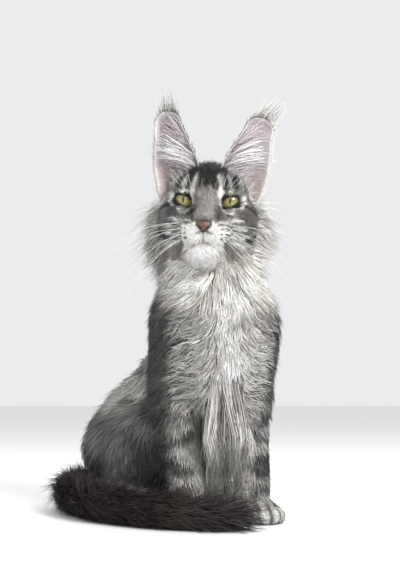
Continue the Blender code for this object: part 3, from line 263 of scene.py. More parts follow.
# Distance from one bar to the next on the chest, the back and the legs, divided by 2 pi.
# The chest's bars are partly tabby bars and partly painted shade between the locks
CHEST_BARS_AND_SHADOWS = 0.00105
BACK_BANDS = 0.0075
LEG_BARS = 0.0040


def rng(seed):
    return np.random.default_rng(seed)


def unit(vectors):
    return vectors / np.maximum(np.linalg.norm(vectors, axis=-1, keepdims=True), 1e-9)


def ramp(values, start, end):
    """0 at start, 1 at end, and smooth between."""
    share = np.clip((values - start) / (end - start), 0, 1)
    return share * share * (3 - 2 * share)


def linear(colour):
    """A colour as seen, turned into light."""
    colour = np.asarray(colour, float)
    return np.where(colour < 0.04045, colour / 12.92, ((colour + 0.055) / 1.055) ** 2.4)


def ripple(points, size, seed, sines=7):
    """Soft irregular variation between -1 and 1, over patches of about this size."""
    draw = rng(seed)
    total = np.zeros(len(points))
    for _ in range(sines):
        way = unit(draw.normal(size=3)) * draw.uniform(0.7, 1.4) * 2 * math.pi / size
        total += np.sin(points @ way + draw.uniform(0, 2 * math.pi))
    return np.clip(total / math.sqrt(sines), -1, 1)


def apply_matrix(matrix, points):
    matrix = np.array(matrix)
    return points @ matrix[:3, :3].T + matrix[:3, 3]


def heading(yaw):
    """Unit vectors on the floor: forwards and to the cat's left, for a body turned by yaw."""
    forward = Vector((math.sin(yaw), -math.cos(yaw), 0))
    left = Vector((math.cos(yaw), math.sin(yaw), 0))
    return forward, left


def body_point(at, yaw, ahead, left_by, height):
    forward, left = heading(yaw)
    return at + forward * ahead + left * left_by + Vector((0, 0, height))


def chest_point(*place):
    """A point of the chest's frame: ahead, to the left, and its height."""
    return body_point(CHEST_AT, CHEST_YAW, *place)


def pelvis_point(*place):
    """A point of the pelvis' frame: ahead, to the left, and its height."""
    return body_point(PELVIS_AT, PELVIS_YAW, *place)


def head_point(x, y, z):
    return HEAD @ Vector((x, y, z))


class Limb:
    """A tapered round mass between two balls. A pressed one is a dent in what comes before it."""

    def __init__(self, start, end, start_radius, end_radius, blend, pressed=False):
        self.start, self.end = Vector(start), Vector(end)
        self.start_radius, self.end_radius = start_radius, end_radius
        self.blend, self.pressed = blend, pressed

    def distance(self, points):
        start = np.array(self.start)
        axis = np.array(self.end) - start
        along = np.clip((points - start) @ axis / max(axis @ axis, 1e-12), 0, 1)
        radius = self.start_radius + along * (self.end_radius - self.start_radius)
        return np.linalg.norm(points - start - along[:, None] * axis, axis=1) - radius

    def add_to(self, bm):
        own = bmesh.new()
        for centre, radius in ((self.start, self.start_radius), (self.end, self.end_radius)):
            place = Matrix.Translation(centre)
            bmesh.ops.create_icosphere(own, subdivisions=2, radius=radius, matrix=place)
        hull = bmesh.ops.convex_hull(own, input=own.verts[:])
        bmesh.ops.delete(own, geom=only_verts(hull["geom_interior"]), context="VERTS")
        mesh = mesh_from(own, "limb")
        bm.from_mesh(mesh)
        bpy.data.meshes.remove(mesh)


class Egg:
    """An ellipsoid mass with its own turn. A pressed one is a dent in what comes before it."""

    def __init__(self, centre, radii, turn, blend, pressed=False):
        self.centre, self.radii, self.turn = Vector(centre), radii, turn
        self.blend, self.pressed = blend, pressed

    def distance(self, points):
        local = (points - np.array(self.centre)) @ np.array(self.turn)
        radii = np.array(self.radii)
        reach = np.linalg.norm(local / radii, axis=1)
        slope = np.linalg.norm(local / radii**2, axis=1)
        return reach * (reach - 1) / np.maximum(slope, 1e-9)

    def add_to(self, bm):
        stretch = Matrix.Diagonal((*self.radii, 1))
        place = Matrix.Translation(self.centre) @ self.turn.to_4x4() @ stretch
        bmesh.ops.create_icosphere(bm, subdivisions=3, radius=1, matrix=place)


def smooth_field(points, masses):
    """Distance to the masses, blended where they meet, each pressed one taken away in its turn."""
    total = masses[0].distance(points)
    for mass in masses[1:]:
        sign = -1 if mass.pressed else 1
        other = mass.distance(points)
        share = np.clip(0.5 + 0.5 * (other - sign * total) / mass.blend, 0, 1)
        joined = other + (sign * total - other) * share - mass.blend * share * (1 - share)
        total = sign * joined
    return total


def field_and_slope(points, masses, step=0.0005):
    """Distance to the blended masses, and the unit direction in which it grows."""
    here = smooth_field(points, masses)
    slope = np.empty_like(points)
    for axis in range(3):
        shift = np.zeros(3)
        shift[axis] = step
        slope[:, axis] = (smooth_field(points + shift, masses) - here) / step
    return here, unit(slope)


def trunk_masses():
    """Chest, base of the neck, back, pelvis and neck."""
    chest_turn = Matrix.Rotation(CHEST_YAW, 3, "Z")
    pelvis_turn = Matrix.Rotation(PELVIS_YAW, 3, "Z")
    return [
        Egg(chest_point(0, 0, 0.168), (CHEST_WIDTH / 2, CHEST_DEPTH / 2, 0.066), chest_turn, 0.01),
        Egg(chest_point(0.002, 0, 0.205), (0.044, 0.044, 0.042), chest_turn, 0.02),
        Limb(chest_point(*BACK_START), pelvis_point(*BACK_END), 0.042, 0.049, 0.03),
        Egg(pelvis_point(0, 0, PELVIS_HEIGHT), (0.051, 0.050, 0.0620), pelvis_turn, 0.03),
        Limb(chest_point(-0.004, -0.002, 0.215), head_point(0, 0.034, -0.030), 0.040, 0.038, 0.03),
    ]


def head_limb(start, end, start_radius, end_radius, blend, pressed=False):
    return Limb(head_point(*start), head_point(*end), start_radius, end_radius, blend, pressed)


def head_egg(x, y, z, radii, blend, pressed=False):
    return Egg(head_point(x, y, z), radii, HEAD_TURN, blend, pressed)


def head_masses():
    """Skull, forehead, throat, bridge, muzzle and chin, then cheeks, whisker pads, jaws and brows."""
    masses = [
        head_egg(0, 0.024, 0.003, (0.0325, 0.040, 0.0295), 0.01),
        head_egg(0, 0.006, 0.010, (0.026, 0.020, 0.017), 0.012),
        head_egg(0, 0.024, -0.030, (0.031, 0.030, 0.023), 0.02),
        head_limb((0, -0.004, 0.001), (0, -0.0235, -0.0190), 0.0125, 0.0086, 0.014),
        head_egg(0, -0.012, -0.028, (0.021, 0.018, 0.018), 0.012),
        head_egg(0, -0.0180, -0.0475, (0.0145, 0.0125, 0.0120), 0.008),
    ]
    for side in (-1, 1):
        masses += [
            head_egg(side * 0.0264, 0.015, -0.018, (0.0214, 0.024, 0.024), 0.014),
            head_egg(side * 0.0108, -0.0215, -0.0310, (0.0130, 0.0130, 0.0108), 0.006),
            head_limb((side * 0.008, -0.010, -0.045), (side * 0.023, 0.018, -0.036), 0.011, 0.015, 0.010),
            head_limb((side * 0.0165, 0.001, 0.009), (side * 0.0255, 0.006, 0.007), 0.0080, 0.0080, 0.008),
        ]
    socket = (0.0090, 0.0080, 0.0070)
    masses += [head_egg(side * 0.0180, -0.0150, -0.0045, socket, 0.010, True) for side in (-1, 1)]
    lids = (EYE_RADIUS + LID_THICK,) * 3
    return masses + [head_egg(side * EYE_SPREAD, 0, 0, lids, 0.004) for side in (-1, 1)]


def nose_masses():
    """The leather of the nose, with a dent for each nostril."""
    masses = [
        head_limb((-0.0044, -0.0308, -0.0232), (0.0044, -0.0308, -0.0232), 0.0034, 0.0034, 0.002),
        head_limb((0, -0.0320, -0.0242), (0, -0.0320, -0.0284), 0.0046, 0.0020, 0.003),
        head_limb((-0.0026, -0.0294, -0.0228), (0.0026, -0.0294, -0.0228), 0.0040, 0.0040, 0.002),
    ]
    for side in (-1, 1):
        inner, outer = (side * 0.0030, -0.0364, -0.0262), (side * 0.0080, -0.0336, -0.0240)
        masses.append(head_limb(inner, outer, 0.0013, 0.0008, 0.0008, True))
    return masses


def foreleg_masses(side):
    """Shoulder and upper arm, then the lower leg. side is 1 for the cat's left and -1 for its right."""
    paw = FOREPAW_LEFT if side > 0 else FOREPAW_RIGHT
    shoulder = chest_point(0.004, side * 0.036, SHOULDER_HEIGHT)
    elbow = ELBOW_LEFT if side > 0 else ELBOW_RIGHT
    wrist = Vector((paw.x - side * 0.006, paw.y + 0.008, 0.030))
    return [Limb(shoulder, elbow, 0.024, 0.021, 0.02), Limb(elbow, wrist, 0.0205, 0.0158, 0.01)]


def hindpaw_place(side):
    """Where the middle of a hind paw stands, and its yaw."""
    yaw = HINDPAW_LEFT_YAW if side > 0 else HINDPAW_RIGHT_YAW
    return pelvis_point(0.012, side * 0.052, 0) + heading(yaw)[0] * 0.070, yaw


def hindleg_masses(side):
    hip = pelvis_point(-0.006, side * HAUNCH_SPREAD, 0.062)
    knee = pelvis_point(0.074, side * 0.056, 0.082)
    hock = pelvis_point(0.012, side * 0.052, 0.018)
    toes = hock + heading(hindpaw_place(side)[1])[0] * 0.066
    return [
        Limb(hip, knee, 0.036, 0.023, 0.02),
        Limb(knee, hock, 0.022, 0.016, 0.012),
        Limb(hock, toes + Vector((0, 0, -0.004)), 0.0165, 0.0150, 0.008),
    ]


def paw_masses(centre, yaw):
    """A paw of four toes round a pad, standing at centre and pointing along yaw."""
    forward, left = heading(yaw)
    turn = Matrix.Rotation(yaw, 3, "Z")
    low = Vector((0, 0, PAW_RADIUS * 0.80 - SOLE_SINK))
    masses = [Egg(centre + low, (PAW_RADIUS, PAW_LENGTH * 0.5, PAW_RADIUS * 0.80), turn, 0.008)]
    for across, ahead in ((-0.0118, 0.30), (-0.0042, 0.43), (0.0042, 0.43), (0.0118, 0.30)):
        toe = centre + left * across + forward * (PAW_LENGTH * ahead)
        toe = toe + Vector((0, 0, TOE_RADIUS - SOLE_SINK))
        back = toe - forward * 0.012 + Vector((0, 0, 0.004))
        masses.append(Limb(back, toe, TOE_RADIUS * 0.8, TOE_RADIUS, 0.0028))
    return masses


def paw_places():
    return [
        (FOREPAW_LEFT, FOREPAW_LEFT_YAW),
        (FOREPAW_RIGHT, FOREPAW_RIGHT_YAW),
        hindpaw_place(1),
        hindpaw_place(-1),
    ]


def tail_at(knot):
    """Place and core radius at a fractional knot of the tail's line, on a smooth curve."""
    first = min(int(knot), len(TAIL_LINE) - 2)
    t = knot - first
    last = len(TAIL_LINE) - 1
    ends = [min(max(first + k, 0), last) for k in (-1, 0, 1, 2)]

    def smooth(a, b, c, d):
        square, cube = 2 * a - 5 * b + 4 * c - d, 3 * b - a - 3 * c + d
        return 0.5 * (2 * b + (c - a) * t + square * t**2 + cube * t**3)

    return smooth(*[TAIL_LINE[i] for i in ends]), smooth(*[TAIL_RADII[i] for i in ends])


def tail_masses(steps=2):
    stations = [tail_at(i / steps) for i in range((len(TAIL_LINE) - 1) * steps + 1)]
    return [
        Limb(start, end, start_radius, end_radius, 0.004)
        for (start, start_radius), (end, end_radius) in zip(stations, stations[1:])
    ]


def region_masses():
    """The masses of each region of the body."""
    trunk = trunk_masses()
    legs = {side: (foreleg_masses(side), hindleg_masses(side)) for side in (1, -1)}
    return {
        "neck": [trunk[1], trunk[4]],
        "chest": [trunk[0]],
        "back": [trunk[2]],
        "rump": [trunk[3]],
        "head": head_masses(),
        "shoulder": [legs[side][0][0] for side in (1, -1)],
        "foreleg": [legs[side][0][1] for side in (1, -1)],
        "haunch": [legs[side][1][0] for side in (1, -1)],
        "shank": [mass for side in (1, -1) for mass in legs[side][1][1:]],
        "paw": [mass for place, yaw in paw_places() for mass in paw_masses(place, yaw)],
        "tail": tail_masses(),
    }


def body_masses():
    masses = trunk_masses() + head_masses()
    for side in (1, -1):
        masses += foreleg_masses(side) + hindleg_masses(side)
    for place, yaw in paw_places():
        masses += paw_masses(place, yaw)
    return masses + tail_masses()


def masses_near(points, masses, reach=0.05):
    """Only the masses that come near the points."""
    sample = points[:: max(1, len(points) // 400)]
    return [mass for mass in masses if mass.distance(sample).min() < reach]


def region_shares(points, regions):
    """How much each region counts at each point. The shares sum to 1."""
    near = []
    for name in REGIONS:
        distances = [mass.distance(points) for mass in regions[name] if not mass.pressed]
        near.append(np.minimum.reduce(distances))
    near = np.stack(near, axis=1)
    shares = np.exp(-(near - near.min(axis=1, keepdims=True)) / REGION_SOFTNESS)
    return shares / shares.sum(axis=1, keepdims=True)


def on_head(points):
    """The points in the head's frame."""
    return apply_matrix(HEAD.inverted(), points)


def eye_distance(local):
    """How far a point of the head's frame is from the nearer eye's middle."""
    spread = np.stack([np.abs(local[:, 0]) - EYE_SPREAD, local[:, 1], local[:, 2]], axis=1)
    return np.linalg.norm(spread, axis=1)


def share_of(shares, *names):
    """How much these regions count together at each point."""
    return sum(shares[:, REGIONS.index(name)] for name in names)


def nose_distance(local):
    return np.linalg.norm(local - np.array(NOSE_AT), axis=1)


def skin_depth(points, shares):
    """How deep the skin lies under the core's surface."""
    depth = shares @ np.array([COATS[name][0] for name in REGIONS])
    local = on_head(points)
    bare = ramp(eye_distance(local), 0.022, 0.011)
    muzzle = ramp(local[:, 1], -0.006, -0.018)
    thin = np.maximum(bare * EYE_THINNER, muzzle * MUZZLE_THINNER)
    return np.maximum(depth - share_of(shares, "head") * thin, LEAST_DEPTH)


def new_object(name, data, material=None):
    obj = bpy.data.objects.new(name, data)
    bpy.context.scene.collection.objects.link(obj)
    if material:
        data.materials.append(material)
    return obj


def apply_modifiers(obj):
    graph = bpy.context.evaluated_depsgraph_get()
    graph.update()
    made = bpy.data.meshes.new_from_object(obj.evaluated_get(graph))
    obj.modifiers.clear()
    obj.data = made
    return obj


def points_of(mesh):
    points = np.empty(len(mesh.vertices) * 3)
    mesh.vertices.foreach_get("co", points)
    return points.reshape(-1, 3)


def settle(mesh, masses, depth_of, rounds):
    """Moves each vertex to its depth under the surface of the blended masses."""
    points = points_of(mesh)
    for _ in range(rounds):
        here, slope = field_and_slope(points, masses)
        points -= np.clip(here + depth_of(points), -SETTLE_STEP, SETTLE_STEP)[:, None] * slope
    points[:, 2] = np.maximum(points[:, 2], FLOOR_CLEAR)
    mesh.vertices.foreach_set("co", points.ravel())
    mesh.update()


def mesh_from(bm, name):
    """A new mesh from a working mesh, which is freed."""
    mesh = bpy.data.meshes.new(name)
    bm.to_mesh(mesh)
    bm.free()
    return mesh


def rework(mesh, change):
    """Changes a mesh by a function of its working mesh."""
    bm = bmesh.new()
    bm.from_mesh(mesh)
    change(bm)
    bm.to_mesh(mesh)
    bm.free()


def turn_outwards(bm):
    bmesh.ops.recalc_face_normals(bm, faces=bm.faces)


def into_triangles(bm):
    bmesh.ops.triangulate(bm, faces=bm.faces[:])


def only_verts(geometry):
    return [v for v in geometry if isinstance(v, bmesh.types.BMVert)]


def set_markings(mesh, colours):
    """Keeps each vertex's colour on the mesh, for its material."""
    colours = np.concatenate([colours, np.ones((len(colours), 1))], axis=1)
    layer = mesh.color_attributes.new("coat", "FLOAT_COLOR", "POINT")
    layer.data.foreach_set("color", colours.ravel())


def fused(name, masses, voxel):
    """The masses' outer surface as one closed mesh."""
    bm = bmesh.new()
    for mass in masses:
        if not mass.pressed:
            mass.add_to(bm)
    obj = new_object(name, mesh_from(bm, name))
    modifier = obj.modifiers.new("fuse", "REMESH")
    modifier.mode = "VOXEL"
    modifier.voxel_size = voxel
    return apply_modifiers(obj)


def refine_face(mesh):
    """Halves the faces' size on the front of the head."""
    local = on_head(points_of(mesh))
    front = (local[:, 1] < FINE_BACK) & (local[:, 2] > FINE_LOW) & (np.abs(local[:, 0]) < FINE_WIDE)

    def halve(bm):
        bm.verts.ensure_lookup_table()
        edges = [e for e in bm.edges if front[e.verts[0].index] and front[e.verts[1].index]]
        bmesh.ops.subdivide_edges(bm, edges=edges, cuts=1, use_grid_fill=True)
        into_triangles(bm)

    rework(mesh, halve)


def almond(width, height, corners=40):
    """Outline of the eye's opening, pointed at both corners."""
    points = []
    for i in range(corners):
        angle = 2 * math.pi * i / corners
        across = math.copysign(abs(math.cos(angle)) ** 1.15, math.cos(angle))
        points.append((across * width / 2, math.sin(angle) * height / 2))
    return points


def eye_matrix(side):
    """The eye's frame, with its opening's slant."""
    slant = Matrix.Rotation(-side * EYE_SLANT, 4, "Y")
    return HEAD @ Matrix.Translation((side * EYE_SPREAD, 0, 0)) @ slant


def open_eye(skin, side):
    """Cuts the slit between the lids."""
    bm = bmesh.new()
    face = bm.faces.new([bm.verts.new((x, 0, z)) for x, z in almond(EYE_OPEN_WIDTH, EYE_OPEN_HEIGHT)])
    made = bmesh.ops.extrude_face_region(bm, geom=[face])
    bmesh.ops.translate(bm, verts=only_verts(made["geom"]), vec=(0, -SLIT_REACH, 0))
    turn_outwards(bm)
    into_triangles(bm)
    mesh = mesh_from(bm, "slit")
    mesh.transform(eye_matrix(side))
    slit = new_object("slit", mesh)
    modifier = skin.modifiers.new("slit", "BOOLEAN")
    modifier.operation = "DIFFERENCE"
    modifier.solver = "MANIFOLD"
    modifier.object = slit
    apply_modifiers(skin)
    bpy.data.objects.remove(slit)


def make_skin(masses, regions, material):
    """One skin from nose to tail, inside the solids by the coat's depth."""
    skin = fused("skin", masses, SKIN_VOXEL)

    def depth_of(points):
        return skin_depth(points, region_shares(points, regions))

    settle(skin.data, masses, depth_of, 4)
    refine_face(skin.data)
    settle(skin.data, masses, depth_of, 2)
    for side in (-1, 1):
        open_eye(skin, side)
    rework(skin.data, into_triangles)
    skin.data.materials.clear()
    skin.data.materials.append(material)
    skin.data.shade_smooth()
    return skin


def unwrap(obj):
    """Unwraps the skin's own shape, and returns the place of each face's corner."""
    bpy.context.view_layer.objects.active = obj
    obj.select_set(True)
    bpy.ops.object.mode_set(mode="EDIT")
    bpy.ops.mesh.select_all(action="SELECT")
    bpy.ops.uv.smart_project(angle_limit=math.radians(70), island_margin=0.004, area_weight=0.0)
    bpy.ops.object.mode_set(mode="OBJECT")
    layer = obj.data.uv_layers.active
    layer.name = "OFBake"
    places = np.empty(len(obj.data.loops) * 2)
    layer.uv.foreach_get("vector", places)
    return places.reshape(-1, 3, 2)


class Skin:
    """The skin's triangles, and what the coat is like at each vertex."""

    def __init__(self, obj, masses, regions):
        mesh = obj.data
        self.masses = masses
        self.points = points_of(mesh)
        triangles = np.empty(len(mesh.polygons) * 3, int)
        mesh.loops.foreach_get("vertex_index", triangles)
        self.triangles = triangles.reshape(-1, 3)
        self.tree = BVHTree.FromPolygons([Vector(p) for p in self.points], self.triangles.tolist())
        self.places = unwrap(obj)
        shares = region_shares(self.points, regions)
        self.face_region = shares.argmax(axis=1)[self.triangles[:, 0]]
        self.depth = skin_depth(self.points, shares)
        self.slope = field_and_slope(self.points, masses)[1]
        self.local = on_head(self.points)
        self.coat, self.lie = coat_of(self.points, self.local, self.slope, shares)
        self.colour, self.root_tone_and_shade = markings(self.points, self.local, self.slope, shares)
        corners = self.points[self.triangles]
        span = np.cross(corners[:, 1] - corners[:, 0], corners[:, 2] - corners[:, 0])
        self.area = np.linalg.norm(span, axis=1) / 2

    def faces_in(self, names):
        """Mask of the faces that lie in these regions."""
        return np.isin(self.face_region, [REGIONS.index(name) for name in names])

    def from_the_front(self, x, z):
        """Where a line along the head meets the face: place, direction outwards and face."""
        return self.tree.ray_cast(head_point(x, RAY_START, z), HEAD_TURN @ Vector((0, 1, 0)))[:3]


def tail_direction(points):
    """The way along the tail, at the place on its line nearest to each point."""
    knots = np.linspace(0, len(TAIL_LINE) - 1.001, 60)
    line = np.array([tail_at(knot)[0] for knot in knots])
    along = unit(np.gradient(line, axis=0))
    nearest = np.linalg.norm(points[:, None] - line[None], axis=2).argmin(axis=1)
    return along[nearest], knots[nearest], points - line[nearest]


def head_fringes(local):
    """Where the head's coat is long: ruff behind the cheeks, jaw, chin, crown and temples."""
    x, y, z = local.T
    across = np.abs(x)
    ruff = ramp(across, 0.022, 0.034) * ramp(y, 0.013, 0.021) * ramp(y, 0.056, 0.042)
    return {
        "ruff": ruff * ramp(z, 0.020, 0.010) * ramp(z, -0.062, -0.048),
        "jaw": ramp(z, -0.034, -0.050) * ramp(y, -0.030, 0.0),
        "chin": ramp(z, -0.040, -0.052) * ramp(y, 0.0, -0.016),
        "crown": ramp(z, 0.020, 0.030) * ramp(across, 0.028, 0.018),
        "temple": ramp(across, 0.022, 0.030) * ramp(z, 0.002, 0.012) * ramp(y, 0.030, 0.016),
    }


def coat_of(points, local, slope, shares):
    """What the coat is like at each point, in the columns of COATS, and the way that it lies."""
    coat = shares @ np.array([COATS[name][1:] for name in REGIONS])
    parts = head_fringes(local)
    parts["muzzle"] = ramp(nose_distance(local), 0.034, 0.016)
    parts["by_eye"] = ramp(eye_distance(local), 0.019, 0.011)
    parts["face"] = ramp(local[:, 1], 0.014, -0.012)
    added = sum(parts[name][:, None] * np.array(more) for name, more in HEAD_COAT.items())
    coat += share_of(shares, "head")[:, None] * added
    knots = tail_direction(points)[1]
    upwards = np.maximum(slope[:, 2], 0)
    fan = ramp(np.abs(knots - TAIL_FAN), 1.6, 0.3)
    stand = TAIL_RISE * upwards + (FAN_RISE * upwards**2 - FAN_FLATTER) * fan
    coat[:, 1] += share_of(shares, "tail") * stand
    ways = region_ways(points, local)
    lie = sum(shares[:, index, None] * unit(ways[name]) for index, name in enumerate(REGIONS))
    return coat, unit(lie)


def chest_axes(points):
    """The chest's directions to the left and forwards, and how far each point lies along them."""
    forward, left = [np.array(way) for way in heading(CHEST_YAW)]
    from_chest = points - np.array(CHEST_AT)
    return left, forward, from_chest @ left, from_chest @ forward


def head_ways(local):
    """The coat of the head lies away from the nose and eyes, out at the ruff and down at the jaw."""
    away = unit(local - np.array(NOSE_AT))
    for side in (-1, 1):
        from_eye = local - np.array((side * EYE_SPREAD, 0, 0))
        reach = np.linalg.norm(from_eye, axis=1)
        away += unit(from_eye) * (1.6 * np.exp(-((reach / 0.014) ** 2)))[:, None]
    fringes = head_fringes(local)
    lift = np.interp(local[:, 2], (-0.045, 0.014), (-0.9, 0.45))
    out = np.stack([np.sign(local[:, 0]) * 0.5, np.full(len(local), 0.55), lift], axis=1)
    ruff = fringes["ruff"][:, None]
    away = away * (1 - ruff) + out * (1.2 * ruff)
    away += (0.8 * fringes["jaw"] - 0.9 * fringes["temple"])[:, None] * DOWN
    return away @ np.array(HEAD_TURN).T


def region_ways(points, local):
    """The way that the coat lies in each region."""
    left, forward, sideways, ahead = chest_axes(points)
    off_middle = ramp(np.abs(sideways), 0.004, 0.022)[:, None]
    outward = left * np.sign(sideways)[:, None] * off_middle
    backward = -forward * ramp(ahead, 0.040, -0.030)[:, None]
    wave = 0.30 * ripple(points, 0.030, 21)[:, None]
    pelvis_forward = np.array(heading(PELVIS_YAW)[0])
    tail, knots, off = tail_direction(points)
    loose = 0.35 + 0.55 * ramp(np.abs(knots - TAIL_FAN), 1.6, 0.4)
    return {
        "neck": DOWN * (1 - 0.45 * off_middle) + outward * 0.9 + backward * 0.3 + wave * left,
        "chest": DOWN * (1 - 0.86 * off_middle) + outward * 1.25 + backward * 0.6 + wave * DOWN,
        "shoulder": DOWN + outward * 0.7 + backward * 0.4,
        "back": unit(np.array(pelvis_point(*BACK_END) - chest_point(*BACK_START))) + 0.35 * DOWN,
        "rump": DOWN - 0.35 * pelvis_forward,
        "head": head_ways(local),
        "foreleg": DOWN + np.array((0, 0.12, 0)),
        "haunch": DOWN - 0.50 * pelvis_forward,
        "shank": DOWN - 0.2 * pelvis_forward,
        "paw": np.array(heading(PAW_LIE_YAW)[0]) + 0.5 * DOWN,
        "tail": tail + unit(off) * loose[:, None],
    }


def streak(x, z, start, end, radius, soft=0.0012):
    """Mask of a soft-edged streak between two spots, given across and up."""
    start, end = np.array(start), np.array(end)
    spots = np.stack([x, z], axis=1)
    axis = end - start
    along = np.clip((spots - start) @ axis / max(axis @ axis, 1e-12), 0, 1)
    distance = np.linalg.norm(spots - start - along[:, None] * axis, axis=1)
    return ramp(distance, radius + soft, radius - soft)


def paint(colour, mask, paint_colour, strength=1.0):
    """Lays a colour over the coat where the mask is set."""
    mask = (mask * strength)[:, None]
    colour[:] = colour * (1 - mask) + np.asarray(paint_colour) * mask


# Streaks of the face in the head's frame, across and up: colour, start, end, radius, strength
FACE_STREAKS = [
    (BLACK, (0.0000, 0.0340), (0.0000, 0.0280), 0.0120, 0.95),
    (BLACK, (0.0005, 0.0280), (0.0000, 0.0140), 0.0034, 0.95),
    (BLACK, (0.0060, 0.0190), (0.0062, 0.0085), 0.0013, 0.9),
    (PALE, (0.0102, 0.0220), (0.0118, 0.0095), 0.0014, 0.85),
    (BLACK, (0.0150, 0.0235), (0.0172, 0.0105), 0.0015, 0.95),
    (SILVER, (0.0195, 0.0205), (0.0220, 0.0115), 0.0012, 0.9),
    (BLACK, (0.0238, 0.0190), (0.0262, 0.0100), 0.0014, 0.9),
    (SILVER, (0.0285, 0.0150), (0.0310, 0.0080), 0.0012, 0.8),
    (WHITE, (0.0215, 0.0072), (0.0150, 0.0040), 0.0019, 1.0),
    (WHITE, (0.0126, 0.0064), (0.0104, -0.0055), 0.0030, 1.0),
    (WHITE, (0.0125, -0.0088), (0.0180, -0.0098), 0.0022, 1.0),
    (WHITE, (0.0180, -0.0092), (0.0310, -0.0044), 0.0016, 1.0),
    (WHITE, (0.0328, 0.0040), (0.0338, -0.0020), 0.0018, 1.0),
    (BLACK, (0.0120, -0.0050), (0.0138, -0.0085), 0.0008, 0.95),
    (DARK, (0.0116, -0.0110), (0.0112, -0.0175), 0.0016, 0.85),
    (BLACK, (0.0335, -0.0045), (0.0470, -0.0120), 0.0013, 0.85),
    (BLACK, (0.0350, 0.0075), (0.0430, 0.0030), 0.0012, 0.6),
    (BLACK, (0.0320, -0.0335), (0.0460, -0.0300), 0.0022, 0.95),
    (BLACK, (0.0475, -0.0030), (0.0490, -0.0290), 0.0028, 0.85),
    (DARK, (0.0330, -0.0230), (0.0450, -0.0240), 0.0016, 0.7),
    (WHITE, (0.0075, -0.0262), (0.0150, -0.0300), 0.0044, 1.0),
    (WHITE, (0.0000, -0.0350), (0.0130, -0.0385), 0.0050, 1.0),
    (WHITE, (0.0130, -0.0206), (0.0300, -0.0180), 0.0010, 0.9),
    (WHITE, (0.0150, -0.0250), (0.0330, -0.0240), 0.0012, 0.9),
    (WHITE, (0.0150, -0.0296), (0.0320, -0.0304), 0.0013, 0.9),
    (WHITE, (0.0130, -0.0345), (0.0300, -0.0375), 0.0014, 0.9),
    (WHITE, (0.0000, -0.0460), (0.0000, -0.0550), 0.0118, 1.0),
    (BROWN, (0.0200, -0.0420), (0.0280, -0.0500), 0.0026, 0.6),
]
BRIDGE_WIDTH = 0.0088
BRIDGE_SOFT = 0.003
EYE_LINE = 0.0003
SPOT_ROWS = 4
SPOT_COLUMNS = 3
SPOT_RADIUS = 0.0009
SPOT_TUFTS = 12
LINE_WANDER = 0.0009
WHISKER_ROOTS = [(row, column) for row in range(SPOT_ROWS) for column in range(SPOT_COLUMNS)]
WHISKER_REACH = {1: 0.068, -1: 0.093}
WHISKER_STEPS = 12


def whisker_spot(row, column):
    """Where a whisker grows on its pad, across and up."""
    return 0.0158 + 0.0044 * column, -0.0228 - 0.0043 * row - 0.0008 * column


def face_markings(colour, local):
    """Tabby lines, pale patches and whisker spots on the front of the head."""
    x, y, z = local.T
    across = np.abs(x)
    spots = across + LINE_WANDER * ripple(local, 0.013, 31), z + LINE_WANDER * ripple(local, 0.013, 32)
    front = ramp(y, 0.030, 0.012) * np.maximum(ramp(y, 0.022, 0.014), ramp(across, 0.036, 0.026))
    bridge = ramp(across, BRIDGE_WIDTH, BRIDGE_WIDTH - BRIDGE_SOFT)
    bridge *= ramp(z, 0.014, 0.006) * ramp(z, -0.022, -0.016)
    paint(colour, front * bridge, BRIDGE, 0.85)
    for tone, start, end, radius, strength in FACE_STREAKS:
        paint(colour, front * streak(*spots, start, end, radius, 0.0009), tone, strength)
    for row, column in WHISKER_ROOTS:
        spot = whisker_spot(row, column)
        paint(colour, front * streak(across, z, spot, spot, SPOT_RADIUS, 0.0004), BLACK, 0.35)
    cosine, sine = math.cos(EYE_SLANT), math.sin(EYE_SLANT)
    half = np.array((EYE_OPEN_WIDTH, EYE_OPEN_HEIGHT)) / 2 + EYE_LINE
    from_eye = np.stack([across - EYE_SPREAD, z], axis=1)
    opening = from_eye @ np.array([[cosine, -sine], [sine, cosine]]).T / half
    paint(colour, front * ramp(np.linalg.norm(opening, axis=1), 0.99, 0.92), BLACK)
    paint(colour, ramp(nose_distance(local), 0.0074, 0.0064) * ramp(z, -0.028, -0.024), DARK, 0.7)
    lips = streak(across, z, (0, -0.0300), (0, -0.0370), 0.0005, 0.0004)
    lips = np.maximum(lips, streak(across, z, (0, -0.0370), (0.0100, -0.0425), 0.0005, 0.0005))
    paint(colour, front * lips, LIP, 0.75)


def head_markings(local):
    """Colours of the head: dark at the back and on top, then the face's lines and the pale ruff."""
    x, y, z = local.T
    colour = np.tile(np.array(GREY), (len(local), 1))
    paint(colour, ramp(ripple(local, 0.020, 3), 0.0, 0.8), DARK, 0.5)
    lines = ramp(np.sin(x / 0.0036 + 1.2 * ripple(local, 0.05, 5)), 0.0, 0.7) * ramp(z, 0.010, 0.024)
    paint(colour, lines, BLACK, 0.8)
    paint(colour, ramp(y, 0.010, 0.050), DARK, 0.6)
    crown = head_fringes(local)["crown"] * ramp(y, 0.042, 0.012)
    paint(colour, crown * ramp(np.abs(x), 0.020, 0.012), BLACK, 0.9)
    paint(colour, ramp(z, -0.036, -0.050), CREAM, 0.8)
    face_markings(colour, local)
    ruff_markings(colour, local)
    return colour


def ruff_markings(colour, local):
    """The pale ruff behind the cheeks, and pale hair before the ears."""
    x, y, z = local.T
    edge = y + 0.0035 * ripple(local, 0.010, 7)
    behind = ramp(np.abs(x), 0.020, 0.028) * ramp(edge, 0.0110, 0.0180) * ramp(y, 0.060, 0.046)
    behind *= ramp(z, 0.022, 0.012) * ramp(z, -0.064, -0.052)
    paint(colour, behind, PALE)
    paint(colour, behind * ramp(ripple(local, 0.014, 6), 0.2, 0.9), GREY, 0.35)
    paint(colour, head_fringes(local)["temple"] * ramp(y, 0.004, 0.012), SILVER, 0.8)


